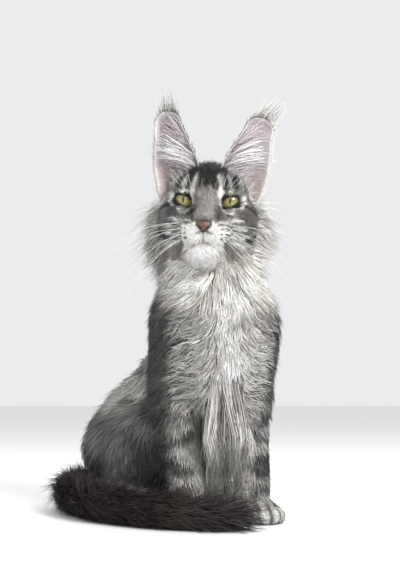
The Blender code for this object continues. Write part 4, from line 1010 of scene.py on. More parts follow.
def body_markings(points, slope):
    """Colours of the trunk: a cream bib, a white line down the chest, silver sides and a dark back, with
    painted shade where the shoulders join the chest, along the fold below the bib and in part of the
    chest's bars.
    """
    _, forward, sideways, ahead = chest_axes(points)
    across, height = np.abs(sideways), points[:, 2]
    facing = slope @ forward
    colour = np.tile(np.array(PALE) * 0.7 + np.array(SILVER) * 0.3, (len(points), 1))
    paint(colour, ramp(facing, 0.25, -0.35), GREY, 0.9)
    paint(colour, ramp(facing, -0.35, -0.85), DARK, 0.85)
    # Dark bars on the chest's sides: partly tabby bars, partly painted shade between the locks
    bars = ramp(np.sin(height / CHEST_BARS_AND_SHADOWS + 2.6 * ripple(points, 0.05, 8)), 0.25, 0.75)
    flank = ramp(across, 0.012, 0.024) * ramp(ahead, -0.06, -0.01)
    paint(colour, bars * flank * ramp(height, 0.235, 0.215), BLACK, 0.85)
    bands = ramp(np.sin(height / BACK_BANDS + 1.8 * ripple(points, 0.07, 9)), 0.3, 0.8)
    paint(colour, bands * ramp(ahead, -0.02, -0.06), BLACK, 0.5)
    # Painted shade: black at the chest's sides, where the shoulders join it
    edge = ramp(across, 0.0335, 0.0385) * ramp(ahead, -0.030, -0.012)
    paint(colour, edge * ramp(height, 0.240, 0.215), BLACK, 0.9)
    middle = ramp(np.abs(sideways + 0.004 * ripple(points, 0.05, 4)), 0.012, 0.005)
    paint(colour, middle * ramp(ahead, 0.0, 0.02) * ramp(height, 0.215, 0.19), WHITE, 0.9)
    bib = ramp(height, 0.200, 0.218) * ramp(across, 0.046, 0.030) * ramp(ahead, -0.012, 0.010)
    paint(colour, bib, CREAM, 0.9)
    paint(colour, bib * ramp(across, 0.024, 0.008), WHITE, 0.3)
    # Painted shade along the fold of the coat just below the bib
    fold_shade = ramp(np.abs(height - 0.196 - 0.25 * across), 0.006, 0.002)
    paint(colour, fold_shade * ramp(across, 0.006, 0.016) * ramp(ahead, 0.0, 0.02), GREY, 0.55)
    return colour


def toe_cleft_shade(points):
    """Mask of the painted shade in the grooves between neighbouring toes."""
    mask = np.zeros(len(points))
    for place, yaw in paw_places():
        toes = np.sort([toe.distance(points) for toe in paw_masses(place, yaw)[1:]], axis=0)
        mask = np.maximum(mask, ramp(toes[1] - toes[0], 0.0022, 0.0006) * ramp(toes[0], 0.006, 0.003))
    return mask


def leg_markings(colour, points, shares):
    """Bars round the forelegs with painted shade on their outer sides, pale toes with painted shade between
    them, and cloudy grey haunches.
    """
    foreleg = share_of(shares, "foreleg") + share_of(shares, "shoulder") * 0.5
    from_middle = np.abs(points[:, 0] - 0.008)
    paint(colour, foreleg, SILVER)
    bars = ramp(np.sin(points[:, 2] / LEG_BARS + 1.5 * ripple(points, 0.035, 12)), 0.0, 0.6)
    paint(colour, foreleg * bars * ramp(from_middle, 0.022, 0.034), BLACK, 0.65)
    # Painted shade: black on the outer sides of the forelegs
    paint(colour, foreleg * ramp(np.abs(points[:, 0] - 0.006), 0.040, 0.052), BLACK, 0.65)
    paint(colour, foreleg * ramp(from_middle, 0.030, 0.018), PALE, 0.7)
    haunch = share_of(shares, "haunch", "rump")
    paint(colour, haunch, GREY, 0.8)
    paint(colour, haunch, DARK, 0.28)
    cloud = ripple(points, 0.055, 14)
    paint(colour, haunch * ramp(cloud, 0.1, 0.8), SILVER, 0.35)
    paint(colour, haunch * ramp(cloud, -0.1, -0.8), DARK, 0.45)
    paint(colour, share_of(shares, "shank"), GREY, 0.8)
    paw = share_of(shares, "paw")
    paint(colour, paw, PALE)
    paint(colour, paw * ramp(ripple(points, 0.020, 15), 0.0, 0.5), SILVER, 0.8)
    paint(colour, paw * ramp(ripple(points, 0.016, 16), 0.45, 0.9), DARK, 0.6)
    # Painted shade in the grooves between the toes
    paint(colour, paw * toe_cleft_shade(points), DARK, 0.7)


def markings(points, local, slope, shares):
    """The coat's colour at each point, and how much darker its roots are: partly the hair's own darker
    base, partly painted shade deep in the coat.
    """
    colour = body_markings(points, slope)
    leg_markings(colour, points, shares)
    head, tail = share_of(shares, "head"), share_of(shares, "tail")
    paint(colour, tail, SOOT)
    paint(colour, tail * ramp(ripple(points, 0.05, 17), 0.2, 0.9), BROWN, 0.22)
    paint(colour, head, head_markings(local))
    colour *= 1 + 0.07 * ripple(points, 0.012, 18)[:, None]
    return linear(np.clip(colour, 0, 1)), 0.62 + 0.24 * head


def fewer(count):
    return count


def straight(starts, ways, lengths, stations):
    """Stations along straight tufts."""
    reach = lengths[:, None] * np.array(STATION_SHARES[stations])
    return starts[:, None] + ways[:, None] * reach[..., None]


def blades(name, paths, overs, widths, roots, tips, places, material):
    """Joined closed tufts. paths is tuft by station, and the last station is the tip."""
    count, stations = paths.shape[:2]
    rings = stations - 1
    each = rings * 3 + 1
    along = unit(np.gradient(paths, axis=1))
    across = unit(np.cross(along, overs))
    over = np.cross(across, along)
    sizes = widths[:, None] / 2 * np.array(RING_WIDTHS[stations])
    verts = np.empty((count, each, 3))
    for corner, (sideways, up) in enumerate(((-1, -BLADE_BELOW), (1, -BLADE_BELOW), (0, BLADE_ABOVE))):
        moved = across[:, :rings] * sideways + over[:, :rings] * up * 2
        verts[:, corner : rings * 3 : 3] = paths[:, :rings] + moved * sizes[..., None]
    verts[:, -1] = paths[:, -1]
    verts[..., 2] = np.maximum(verts[..., 2], FLOOR_CLEAR)
    one = [(0, 1, 2)]
    for ring in range(rings - 1):
        for k in range(3):
            low, other = ring * 3 + k, ring * 3 + (k + 1) % 3
            one += [(other, low, low + 3), (other, low + 3, other + 3)]
    last = (rings - 1) * 3
    one += [(last + (k + 1) % 3, last + k, rings * 3) for k in range(3)]
    triangles = (np.array(one) + (np.arange(count) * each)[:, None, None]).reshape(-1, 3)
    mesh = bpy.data.meshes.new(name)
    mesh.from_pydata(verts.reshape(-1, 3), [], triangles)
    along_share = np.append(np.repeat(STATION_SHARES[stations][:-1], 3), 1.0)
    side_share = np.append(np.tile((-1.0, 1.0, 0.0), rings), 0.0)
    colours = roots[:, None] + (tips - roots)[:, None] * along_share[:, None] ** 0.7
    set_markings(mesh, colours.reshape(-1, 3))
    offset = np.stack([side_share * PATCH / 2, (along_share - 0.5) * PATCH], axis=1)
    by_vertex = (places[:, None] + offset).reshape(-1, 2)
    unwrapped = mesh.uv_layers.new(name="OFBake")
    unwrapped.uv.foreach_set("vector", by_vertex[triangles.ravel()].ravel())
    mesh.shade_smooth()
    return new_object(name, mesh, material)


def gather_locks(paths, gather, draw, seed):
    """Draws the tips of neighbouring tufts together. Each lock has a phase of its own."""
    count, stations = paths.shape[:2]
    guides = draw.permutation(count)[: max(1, count // TUFTS_PER_LOCK)]
    tree = KDTree(len(guides))
    for index, guide in enumerate(guides):
        tree.insert(Vector(paths[guide, 0]), index)
    tree.balance()
    lock = np.array([tree.find(Vector(root))[1] for root in paths[:, 0]])
    offset = paths[guides[lock]] - paths
    apart = np.linalg.norm(offset[:, 0], axis=1)
    hold = gather * ramp(apart, 0.016, 0.008)
    shares = np.array(STATION_SHARES[stations]) ** 1.3
    phase = rng(seed).uniform(0, 2 * math.pi, lock.max() + 1)[lock]
    return paths + offset * (hold[:, None] * shares)[..., None], phase


def march(skin, roots, slope, lie, length, stand, depth, stations):
    """Places along each tuft, which follows the body's surface and rises off it towards the tip."""
    masses = masses_near(roots, skin.masses)
    spot = roots - slope * ROOT_SINK
    way = unit(lie - slope * (lie * slope).sum(axis=1, keepdims=True))
    paths, outs = [spot], [slope]
    shares = STATION_SHARES[stations]
    for before, share in zip(shares, shares[1:]):
        ahead = spot + way * (length * (share - before))[:, None]
        here, out = field_and_slope(ahead, masses)
        rise = stand * share**0.85 - depth - here
        moved = ahead + out * rise[:, None]
        step = moved - spot
        way = unit(step - out * (step * out).sum(axis=1, keepdims=True))
        spot = moved
        paths.append(spot)
        outs.append(out)
    return np.stack(paths, axis=1), np.stack(outs, axis=1)


def waves(phase, reach, stations):
    """How far the stations of each tuft swing sideways."""
    shares = np.array(STATION_SHARES[stations])
    swing = np.sin(phase[:, None] + shares * 5.0) - np.sin(phase)[:, None]
    return (swing * (reach * 0.14)[:, None] * shares)[..., None]


def grow(skin, name, count, stations, faces, seed, material):
    """Tufts spread over these faces of the skin."""
    draw = rng(seed)
    count = fewer(count)
    weight = skin.area[faces]
    picked = faces[draw.choice(len(faces), count, p=weight / weight.sum())]
    one, two = draw.random(count), draw.random(count)
    folded = one + two > 1
    one[folded], two[folded] = 1 - one[folded], 1 - two[folded]
    mix = np.stack([1 - one - two, one, two], axis=1)[..., None]
    corners = skin.triangles[picked]

    def at_root(values):
        return (values[corners] * mix).sum(axis=1)

    roots, slope, lie = at_root(skin.points), unit(at_root(skin.slope)), unit(at_root(skin.lie))
    coat, colour = at_root(skin.coat), at_root(skin.colour)
    depth, root_tone_and_shade = at_root(np.stack([skin.depth, skin.root_tone_and_shade], axis=1)).T
    places = (skin.places[picked] * mix).sum(axis=1)
    length, stand, width, gather, stray = coat.T
    loose = draw.random(count) < stray
    length = length * draw.uniform(0.70, 1.18, count)
    stand = stand * draw.uniform(0.25, 1.15, count) ** 0.8 * np.where(loose, STRAY_STAND, 1)
    width = width * draw.uniform(0.65, 1.25, count) * np.where(loose, STRAY_WIDTH, 1)
    gather = gather * np.where(loose, 0, 1)
    lean = np.cross(slope, lie) * (draw.normal(0, 0.16, count) * np.where(loose, STRAY_LEAN, 1))[:, None]
    paths, outs = march(skin, roots, slope, lie + lean, length, stand, depth, stations)
    paths, phase = gather_locks(paths, gather, draw, seed + 1)
    across = unit(np.cross(paths[:, -1] - paths[:, 0], outs[:, 0]))
    paths = paths + waves(phase, length * gather, stations) * across[:, None]
    paths[..., 2] = np.maximum(paths[..., 2], TUFT_CLEAR)
    overs = unit(outs + across[:, None] * draw.normal(0, 0.45, count)[:, None, None])
    shade = np.exp(draw.normal(0, 0.13, count) + LOCK_SHADE * gather * np.sin(phase * 3))
    colour = colour * shade[:, None]
    tips = np.clip(colour * 1.12, 0, 1)
    # Roots darker than tips: partly the hair's own darker base, partly painted shade deep in the coat
    return blades(name, paths, overs, width, colour * root_tone_and_shade[:, None], tips, places, material)


def free_locks(name, skin, roots, faces, ways, lengths, tone_of, seed, material, spread_by, hold, swing):
    """Long loose tufts that leave the body, gathered into wavy locks."""
    draw = rng(seed)
    count = len(roots)
    ways = unit(ways + draw.normal(0, spread_by, (count, 3)))
    paths = straight(roots, ways, lengths, FREE_STATIONS)
    paths, phase = gather_locks(paths, np.full(count, hold), draw, seed + 1)
    front = np.tile(np.array((0.0, -1.0, 0.0)), (count, 1))
    paths += unit(np.cross(ways, front))[:, None] * waves(phase, lengths * swing, FREE_STATIONS)
    paths[..., 2] = np.maximum(paths[..., 2], TUFT_CLEAR)
    colour = tone_of(phase) * np.exp(draw.normal(0, 0.12, count))[:, None]
    overs = np.broadcast_to(front[:, None], paths.shape)
    width = draw.uniform(0.0005, 0.0010, count)
    places = skin.places[faces].mean(axis=1)
    # Darker roots here too: partly the hair's own darker base, partly painted shade deep in the coat
    return blades(name, paths, overs, width, colour * 0.6, np.clip(colour, 0, 1), places, material)


def spot_tufts(skin, material):
    """Short dark tufts where the whiskers grow."""
    draw = rng(50)
    hits = []
    for side in (-1, 1):
        for row, column in WHISKER_ROOTS:
            x, z = whisker_spot(row, column)
            for off_x, off_z in draw.normal(0, SPOT_RADIUS / 2, (SPOT_TUFTS, 2)):
                hits.append(skin.from_the_front(side * x + off_x, z + off_z))
    roots, outs, faces = [np.array(part) for part in zip(*hits)]
    count = len(roots)
    away = unit(on_head(roots) - np.array(NOSE_AT))
    ways = unit(away @ np.array(HEAD_TURN).T + outs * 0.8)
    paths = straight(roots, ways, draw.uniform(0.0014, 0.0021, count), 3)
    overs = np.broadcast_to(outs[:, None], paths.shape)
    colour = np.tile(linear(BLACK), (count, 1))
    places = skin.places[faces].mean(axis=1)
    return blades("coat_spots", paths, overs, np.full(count, 0.0006), colour, colour, places, material)


def mixed_tone(dark, light):
    """Tone of each lock, between two colours."""
    def tone(phase):
        return linear(dark) + (linear(light) - linear(dark)) * ramp(np.sin(phase * 2), -0.8, 0.4)[:, None]

    return tone


def apron(skin, material):
    """Long locks that hang from the chest between the forelegs."""
    draw = rng(40)
    count = fewer(APRON_TUFTS)
    forward = heading(CHEST_YAW)[0]
    roots, faces = [], []
    while len(roots) < count:
        sideways = float(np.clip(draw.normal(0.003, 0.008), -0.014, 0.018))
        start = chest_point(0.12, sideways, draw.uniform(0.080, 0.150))
        hit, _, face, _ = skin.tree.ray_cast(start, -forward)
        if hit is not None:
            roots.append(np.array(hit))
            faces.append(face)
    roots = np.array(roots)
    lengths = np.minimum(roots[:, 2] - draw.uniform(0.004, 0.055, count), APRON_LONGEST)
    ways = np.tile(DOWN + np.array(forward) * 0.05, (count, 1))
    tone = mixed_tone(GREY, PALE)
    return free_locks("coat_apron", skin, roots, faces, ways, lengths, tone, 42, material, 0.05, 0.40, 0.45)


def plume(skin, material):
    """Loose hair of the tail: a fan at its outer bend, and the brush past its end."""
    draw = rng(45)
    faces = np.nonzero(skin.faces_in(["tail"]))[0]
    middles = skin.points[skin.triangles[faces]].mean(axis=1)
    tail, knots, off = tail_direction(middles)
    at_fan = (np.abs(knots - TAIL_FAN) < 1.7) & (off[:, 2] > -0.002)
    at_end = knots > len(TAIL_LINE) - 2.4
    fan_ways = tail * 0.35 + unit(off) * np.array((0.20, 0.20, 1.0)) + np.array((-0.10, 0, 0.6))
    end_ways = tail + unit(off) * 0.22
    parts = []
    for where, way, count, shortest, longest in (
        (at_fan, fan_ways, fewer(FAN_TUFTS), 0.012, 0.028),
        (at_end, end_ways, fewer(BRUSH_TUFTS), 0.024, 0.046),
    ):
        choice = draw.choice(np.nonzero(where)[0], count)
        lengths = draw.uniform(shortest, longest, count)
        parts.append((middles[choice], faces[choice], way[choice], lengths))
    roots, faces, ways, lengths = [np.concatenate(part) for part in zip(*parts)]
    tone = mixed_tone(SOOT, DARK)
    return free_locks("coat_plume", skin, roots, faces, ways, lengths, tone, 47, material, 0.16, 0.12, 0.3)


def ear_half_width(height):
    """Half the ear's width at a share of its height, with a round tip."""
    heights, widths = zip(*EAR_HALF_WIDTHS)
    around = [np.interp(height + offset, heights, widths) for offset in (-0.06, -0.03, 0, 0.03, 0.06)]
    past = np.clip((height - EAR_TIP_FROM) / (1 - EAR_TIP_FROM), 0, 1)
    return np.maximum(np.mean(around, axis=0) * np.sqrt(1 - past**2), EAR_TIP_LEAST)


class Ear:
    """An ear's frame on the head, and its cupped surface by height and place across."""

    def __init__(self, side):
        self.side = side
        self.root = Vector((side * EAR_ROOT.x, EAR_ROOT.y, EAR_ROOT.z))
        self.axis = (EAR_TIP_LEFT if side > 0 else EAR_TIP_RIGHT) - self.root
        facing = Vector((side * math.sin(EAR_TURN_OUT), -math.cos(EAR_TURN_OUT), 0))
        lean = self.axis * (facing.dot(self.axis) / self.axis.length_squared)
        self.facing = (facing - lean).normalized()
        self.sideways = self.axis.cross(self.facing).normalized()
        own_ways = (self.axis.normalized(), self.facing, self.sideways)
        self.up, self.front, self.across = [np.array(HEAD_TURN @ way) for way in own_ways]

    def surface(self, height, u):
        """Places in the drawing frame. u runs from -1 to 1."""
        height, u = np.asarray(height, float), np.asarray(u, float)
        half = ear_half_width(height)
        hollow = half * (0.95 - 0.45 * np.maximum(0.0, height)) * (1 - np.abs(u) ** 2.2)
        spot = np.array(self.root) + height[..., None] * np.array(self.axis)
        spot = spot + (half * u)[..., None] * np.array(self.sideways)
        return apply_matrix(HEAD, spot - hollow[..., None] * np.array(self.facing))


def ear_colour(height, u, inside):
    """Colours of the ear's skin: pink and grey within, dark outside, with a pale rim."""
    count = len(height)
    spots = np.stack([height * 0.07, u * 0.02, np.zeros(count)], axis=1)
    colour = np.tile(np.array(EAR_GREY if inside else GREY), (count, 1))
    if inside:
        paint(colour, ramp(height, 0.55, 0.05), PINK, 0.6)
        paint(colour, ramp(ripple(spots, 0.012, 61), 0.0, 0.8), EAR_SHADE, 0.35)
    else:
        paint(colour, ramp(ripple(spots, 0.016, 62), 0.0, 0.8), DARK, 0.6)
        paint(colour, ramp(height, 0.2, 0.7), DARK, 0.7)
    paint(colour, np.maximum(ramp(np.abs(u), 0.86, 0.97), ramp(height, 0.93, 0.98)), PALE, 0.6)
    return linear(np.clip(colour, 0, 1))


def make_ear(side, word, material, rows=44, columns=30):
    """The ear's cup as a thin sheet with thickness."""
    ear = Ear(side)
    name = f"ear_skin_{word}"
    low = -EAR_BELOW_ROOT * 0.7
    heights = low + (1 - low) * (np.arange(rows + 1) / rows) ** 0.9
    us = np.linspace(-1, 1, columns + 1)
    height, u = [grid.ravel() for grid in np.meshgrid(heights, us, indexing="ij")]
    points = ear.surface(height, u)
    half = ear.front * EAR_THICK / 2
    wide, total = columns + 1, len(points)
    faces = []
    for row in range(rows):
        for column in range(columns):
            a = row * wide + column
            quad = (a, a + 1, a + wide + 1, a + wide)
            faces += [quad, tuple(total + k for k in reversed(quad))]
    rim = list(range(wide))
    rim += [row * wide + columns for row in range(1, rows + 1)]
    rim += [rows * wide + column for column in range(columns - 1, -1, -1)]
    rim += [row * wide for row in range(rows - 1, 0, -1)]
    for here, there in zip(rim, rim[1:] + rim[:1]):
        faces.append((there, here, total + here, total + there))
    obj = closed_object(name, np.concatenate([points + half, points - half]), faces, material)
    colours = [ear_colour(height, u, inside) for inside in (True, False)]
    set_markings(obj.data, np.concatenate(colours))
    return obj


def ear_places(height, u):
    """Places on the ear's unwrap."""
    return np.stack([0.05 + 0.9 * (u + 1) / 2, 0.05 + 0.9 * np.clip((height + 0.3) / 1.4, 0, 1)], axis=1)


def hair_behind(ear, draw, count):
    """Short hair on the ear's back."""
    height, u = draw.uniform(-0.15, 0.97, count), draw.uniform(-0.98, 0.98, count)
    start = ear.surface(height, u) - ear.front * (EAR_THICK / 2)
    lift = draw.uniform(0.05, 0.45, count)[:, None]
    turn = (draw.normal(0, 0.12, count) - 0.08 * u)[:, None]
    way = unit(ear.up - ear.front * lift + ear.across * turn)
    path = straight(start, way, draw.uniform(0.004, 0.008, count), EAR_STATIONS)
    return height, u, path, -ear.front, 0.0009, ear_colour(height, u, False), 0.75


def hair_within(ear, draw, count):
    """Long pale hair that arches across the opening, densest in two bands."""
    side = ear.side
    shares = np.array(STATION_SHARES[EAR_STATIONS])
    height = draw.uniform(-0.22, 0.62, count)
    bands = np.exp(-(((height - 0.34) / 0.035) ** 2)) + np.exp(-(((height - 0.20) / 0.03) ** 2))
    u = -side * draw.uniform(0.45, 0.97, count)
    reach = draw.uniform(-0.1, 0.9, count) + 0.35 * bands
    rise = draw.uniform(0.16, 0.42, count)
    start = ear.surface(height, u)
    end = ear.surface(np.minimum(height + rise, 1.0), side * np.minimum(reach, 1.0))
    end = end + ear.across * (side * np.maximum(reach - 1.0, 0) * 0.06)[:, None]
    bow = draw.uniform(0.001, 0.005, count) + 0.003 * bands
    arch = draw.uniform(0.002, 0.008, count)
    path = start[:, None] + (end - start)[:, None] * shares[:, None]
    bowed = bow[:, None] * np.sin(math.pi * np.minimum(1.0, 0.10 + shares))
    arched = arch[:, None] * np.sin(math.pi * shares)
    path = path + ear.front * bowed[..., None] + ear.up * arched[..., None]
    grey, white = np.array(EAR_GREY), np.array(WHITE)
    tone = grey * 1.08 + (white - grey) * np.clip(bands, 0, 1)[:, None]
    width = draw.uniform(0.0003, 0.0006, count)
    return height, u, path, ear.front, width, linear(np.clip(tone, 0, 1)), 0.95


def hair_on_rim(ear, draw, count):
    """Hair along the rim, pale and longer on the outer side."""
    u = np.where(draw.random(count) < 0.6, ear.side, -ear.side)
    height = draw.uniform(-0.1, 0.98, count)
    outer = u * ear.side > 0
    start = ear.surface(height, u * draw.uniform(0.92, 1.0, count))
    fan = u * np.where(outer, draw.uniform(0.1, 0.6, count), 0.02)
    way = unit(ear.up + ear.across * fan[:, None] + ear.front * draw.uniform(-0.3, 0.25, count)[:, None])
    length = np.where(outer, draw.uniform(0.004, 0.009, count), draw.uniform(0.0015, 0.0035, count))
    path = straight(start, way, length, EAR_STATIONS)
    tone = np.where(outer[:, None], linear(PALE), linear(GREY))
    return height, u, path, ear.front, 0.0004, tone, 0.75


def hair_at_tip(ear, draw, count):
    """The long tuft at the ear's tip."""
    u = draw.uniform(-1, 1, count)
    height = draw.uniform(0.80, 1.0, count)
    start = ear.surface(height, u)
    aim = np.array(HEAD_TURN @ Vector(TIP_WAYS[ear.side]).normalized())
    way = unit(aim + draw.normal(0, 0.07, (count, 3)))
    length = draw.uniform(0.008, TIP_LENGTHS[ear.side], count) * (0.5 + 0.5 * ramp(height, 0.80, 0.95))
    path = straight(start, way, length, EAR_STATIONS)
    bend = ear.side * 0.10 * length[:, None] * np.array(STATION_SHARES[EAR_STATIONS]) ** 2
    tone = np.where((draw.random(count) < 0.32)[:, None], linear(GREY), linear(PALE))
    return height, u, path + ear.across * bend[..., None], ear.front, 0.00033, tone, 0.75


def ear_tufts(side, word, material):
    """All the hair of one ear, kind by kind."""
    ear, draw = Ear(side), rng(70 + side)
    made = []
    for kind, count in ((hair_behind, 1300), (hair_within, 750), (hair_on_rim, 420), (hair_at_tip, 330)):
        height, u, path, over, width, colour, root_tone_and_shade = kind(ear, draw, fewer(count))
        colour = colour * np.exp(draw.normal(0, 0.12, len(path)))[:, None]
        over, width = np.broadcast_to(over, path.shape), np.broadcast_to(width, (len(path),))
        # Darker roots: partly the hair's own darker base, partly painted shade deep in the coat
        root, tip = np.clip(colour * root_tone_and_shade, 0, 1), np.clip(colour * 1.1, 0, 1)
        made.append((path, over, width, root, tip, ear_places(height, u)))
    return blades(f"coat_ear_{word}", *[np.concatenate(part) for part in zip(*made)], material)


def make_eye(side, word, material, segments=64):
    """The eyeball with its cornea's bulge, and a front-on map for the iris."""
    bm = bmesh.new()
    bmesh.ops.create_uvsphere(bm, u_segments=segments, v_segments=segments // 2, radius=EYE_RADIUS,
                              matrix=Matrix.Rotation(math.pi / 2, 4, "X"))
    for vertex in bm.verts:
        across = math.hypot(vertex.co.x, vertex.co.z)
        if vertex.co.y < 0 and across < CORNEA_RADIUS:
            vertex.co.y -= CORNEA_BULGE * (1 - (across / CORNEA_RADIUS) ** 2)
    layer = bm.loops.layers.uv.new("iris")
    for face in bm.faces:
        for loop in face.loops:
            spot = loop.vert.co
            loop[layer].uv = (0.5 + spot.x / IRIS_MAP, 0.5 + spot.z / IRIS_MAP)
    mesh = mesh_from(bm, f"eyeball_{word}")
    mesh.transform(HEAD @ Matrix.Translation((side * EYE_SPREAD, 0, 0)))
    mesh.shade_smooth()
    return new_object(mesh.name, mesh, material)


def closed_object(name, verts, faces, material):
    """A smooth object from closed faces, turned outwards."""
    mesh = bpy.data.meshes.new(name)
    mesh.from_pydata(verts, [], faces)
    rework(mesh, turn_outwards)
    mesh.shade_smooth()
    return new_object(name, mesh, material)


def tubes(name, lines, material, sides=6):
    """Joined closed tubes, each a list of (place, radius)."""
    verts, faces = [], []
    for line in lines:
        first = len(verts)
        for i, (spot, radius) in enumerate(line):
            along = (line[min(i + 1, len(line) - 1)][0] - line[max(i - 1, 0)][0]).normalized()
            side = along.cross(Vector((0.13, 0.21, 0.97))).normalized()
            over = side.cross(along)
            for k in range(sides):
                angle = 2 * math.pi * k / sides
                verts.append(spot + (side * math.cos(angle) + over * math.sin(angle)) * radius)
        for low in range(first, len(verts) - sides, sides):
            for k in range(sides):
                n = (k + 1) % sides
                faces.append((low + k, low + sides + k, low + sides + n, low + n))
        faces.append(list(range(first, first + sides)))
        faces.append(list(reversed(range(len(verts) - sides, len(verts)))))
    return closed_object(name, verts, faces, material)


def make_lid_rims(material):
    """The dark line round each eye, drawn out at the inner corner."""
    reach = EYE_RADIUS + LID_THICK - RIM_SINK
    lines = []
    for side in (-1, 1):
        place = eye_matrix(side)
        outline = almond(EYE_OPEN_WIDTH + 0.0006, EYE_OPEN_HEIGHT + 0.0006, 44)
        line = []
        for x, z in outline + outline[:1]:
            y = -math.sqrt(reach**2 - x**2 - z**2)
            corner = abs(x) / (EYE_OPEN_WIDTH / 2)
            line.append((place @ Vector((x, y, z)), 0.00085 - 0.0002 * corner))
        lines.append(line)
        tear = []
        for share in (0, 0.35, 0.7, 1.0):
            x = -side * (EYE_OPEN_WIDTH / 2 + 0.0020 * share)
            z = -0.0026 * share
            y = -math.sqrt(max(reach**2 - x**2 - z**2, 1e-6)) - 0.0006 * share
            tear.append((place @ Vector((x, y, z)), 0.0010 * (1 - 0.75 * share)))
        lines.append(tear)
    return tubes("lid_rims", lines, material, sides=8)


def make_nose(material):
    """The nose's leather, dark at its edges and in the nostrils."""
    nose = fused("nose_leather", nose_masses(), NOSE_VOXEL)
    settle(nose.data, nose_masses(), lambda points: np.zeros(len(points)), 3)
    nose.data.materials.clear()
    nose.data.materials.append(material)
    x, y, z = on_head(points_of(nose.data)).T
    x = np.abs(x)
    nostril = streak(x, z, (0.0032, -0.0264), (0.0070, -0.0243), 0.0009, 0.0005) * ramp(y, -0.030, -0.033)
    colour = np.tile(np.array(NOSE_RED), (len(x), 1))
    paint(colour, ramp(x, 0.0050, 0.0072), SOOT, 0.7)
    paint(colour, ramp(z, -0.0214, -0.0200), SOOT, 0.8)
    paint(colour, ramp(z, -0.0272, -0.0292), SOOT, 0.9)
    paint(colour, nostril, NOSTRIL)
    set_markings(nose.data, linear(colour))
    nose.data.shade_smooth()
    return nose


def make_whiskers(skin, material):
    """Long white whiskers from the pads, and a few above each eye."""
    draw = rng(90)
    lines = []

    def whisker(spot, way, length, sag, radius):
        way = HEAD_TURN @ Vector(way).normalized()
        line = []
        for k in range(WHISKER_STEPS + 1):
            share = k / WHISKER_STEPS
            place = spot + way * (length * share) + Vector((0, 0, -sag * share**2))
            line.append((place, radius * (1 - 0.82 * share)))
        lines.append(line)

    for side in (-1, 1):
        for row, column in WHISKER_ROOTS:
            x, z = whisker_spot(row, column)
            rise = 0.16 - 0.21 * row + draw.uniform(-0.05, 0.05)
            way = (side, -0.10 + 0.16 * column + draw.uniform(-0.06, 0.06), rise)
            reach = WHISKER_REACH[side] * (0.50 + 0.25 * column) * draw.uniform(0.9, 1.02)
            sag = reach * draw.uniform(0.35, 0.65)
            whisker(skin.from_the_front(side * x, z)[0], way, reach, sag, 0.00014)
        for k in range(4):
            spot = skin.from_the_front(side * (0.0150 + 0.003 * k), 0.0125)[0]
            way = (side * (0.25 + 0.22 * k), -0.25, 0.95)
            whisker(spot, way, draw.uniform(0.024, 0.040), 0.004, 0.00013)
    return tubes("whiskers", lines, material, sides=5)


def new_material(name, roughness, specular=0.3):
    """A material, its node tree and its shader's inputs."""
    made = bpy.data.materials.new(name)
    made.use_nodes = True
    inputs = made.node_tree.nodes["Principled BSDF"].inputs
    inputs["Roughness"].default_value = roughness
    inputs["Specular IOR Level"].default_value = specular
    return made, made.node_tree, inputs


def add_node(tree, kind, inputs, output, **settings):
    """Adds a node whose inputs are numbers, colours or other nodes' outputs. Returns its output."""
    node = tree.nodes.new(kind)
    for key, value in settings.items():
        setattr(node, key, value)
    for key, value in inputs.items():
        if isinstance(value, bpy.types.NodeSocket):
            tree.links.new(value, node.inputs[key])
        else:
            node.inputs[key].default_value = value
    return node.outputs[output]


def noise(tree, scale, detail=3.0):
    place = add_node(tree, "ShaderNodeTexCoord", {}, "Object")
    return add_node(tree, "ShaderNodeTexNoise", {"Vector": place, "Scale": scale, "Detail": detail}, "Fac")


def sum_of_squares(tree, first, second):
    squares = [math_node(tree, "MULTIPLY", value, value) for value in (first, second)]
    return math_node(tree, "ADD", *squares)


def coat_material(name, roughness, scale, bump=0.0, bump_size=0.0):
    """Colour from the coat's markings, broken up by a fine grain."""
    made, tree, inputs = new_material(name, roughness)
    colour = add_node(tree, "ShaderNodeVertexColor", {}, "Color", layer_name="coat")
    grain = in_range(tree, noise(tree, scale), 0.80, 1.16)
    tree.links.new(scaled(tree, colour, grain), inputs["Base Color"])
    if bump:
        relief = {"Height": noise(tree, scale * 1.7, 5.0), "Strength": bump, "Distance": bump_size}
        tree.links.new(add_node(tree, "ShaderNodeBump", relief, "Normal"), inputs["Normal"])
    return made


def in_range(tree, value, low, high, start=0.3, end=0.7):
    """Maps a value onto a range. The first range is that of most of a noise."""
    limits = {"Value": value, "From Min": start, "From Max": end, "To Min": low, "To Max": high}
    return add_node(tree, "ShaderNodeMapRange", limits, "Result")


def scaled(tree, colour, factor):
    return add_node(tree, "ShaderNodeVectorMath", {0: colour, "Scale": factor}, "Vector", operation="SCALE")


def mixed(tree, factor, first, second):
    """Blends two colours. In the node, 6, 7 and 2 are its colour inputs and its colour output."""
    return add_node(tree, "ShaderNodeMix", {"Factor": factor, 6: first, 7: second}, 2, data_type="RGBA")


def math_node(tree, operation, *values):
    return add_node(tree, "ShaderNodeMath", dict(enumerate(values)), "Value", operation=operation)


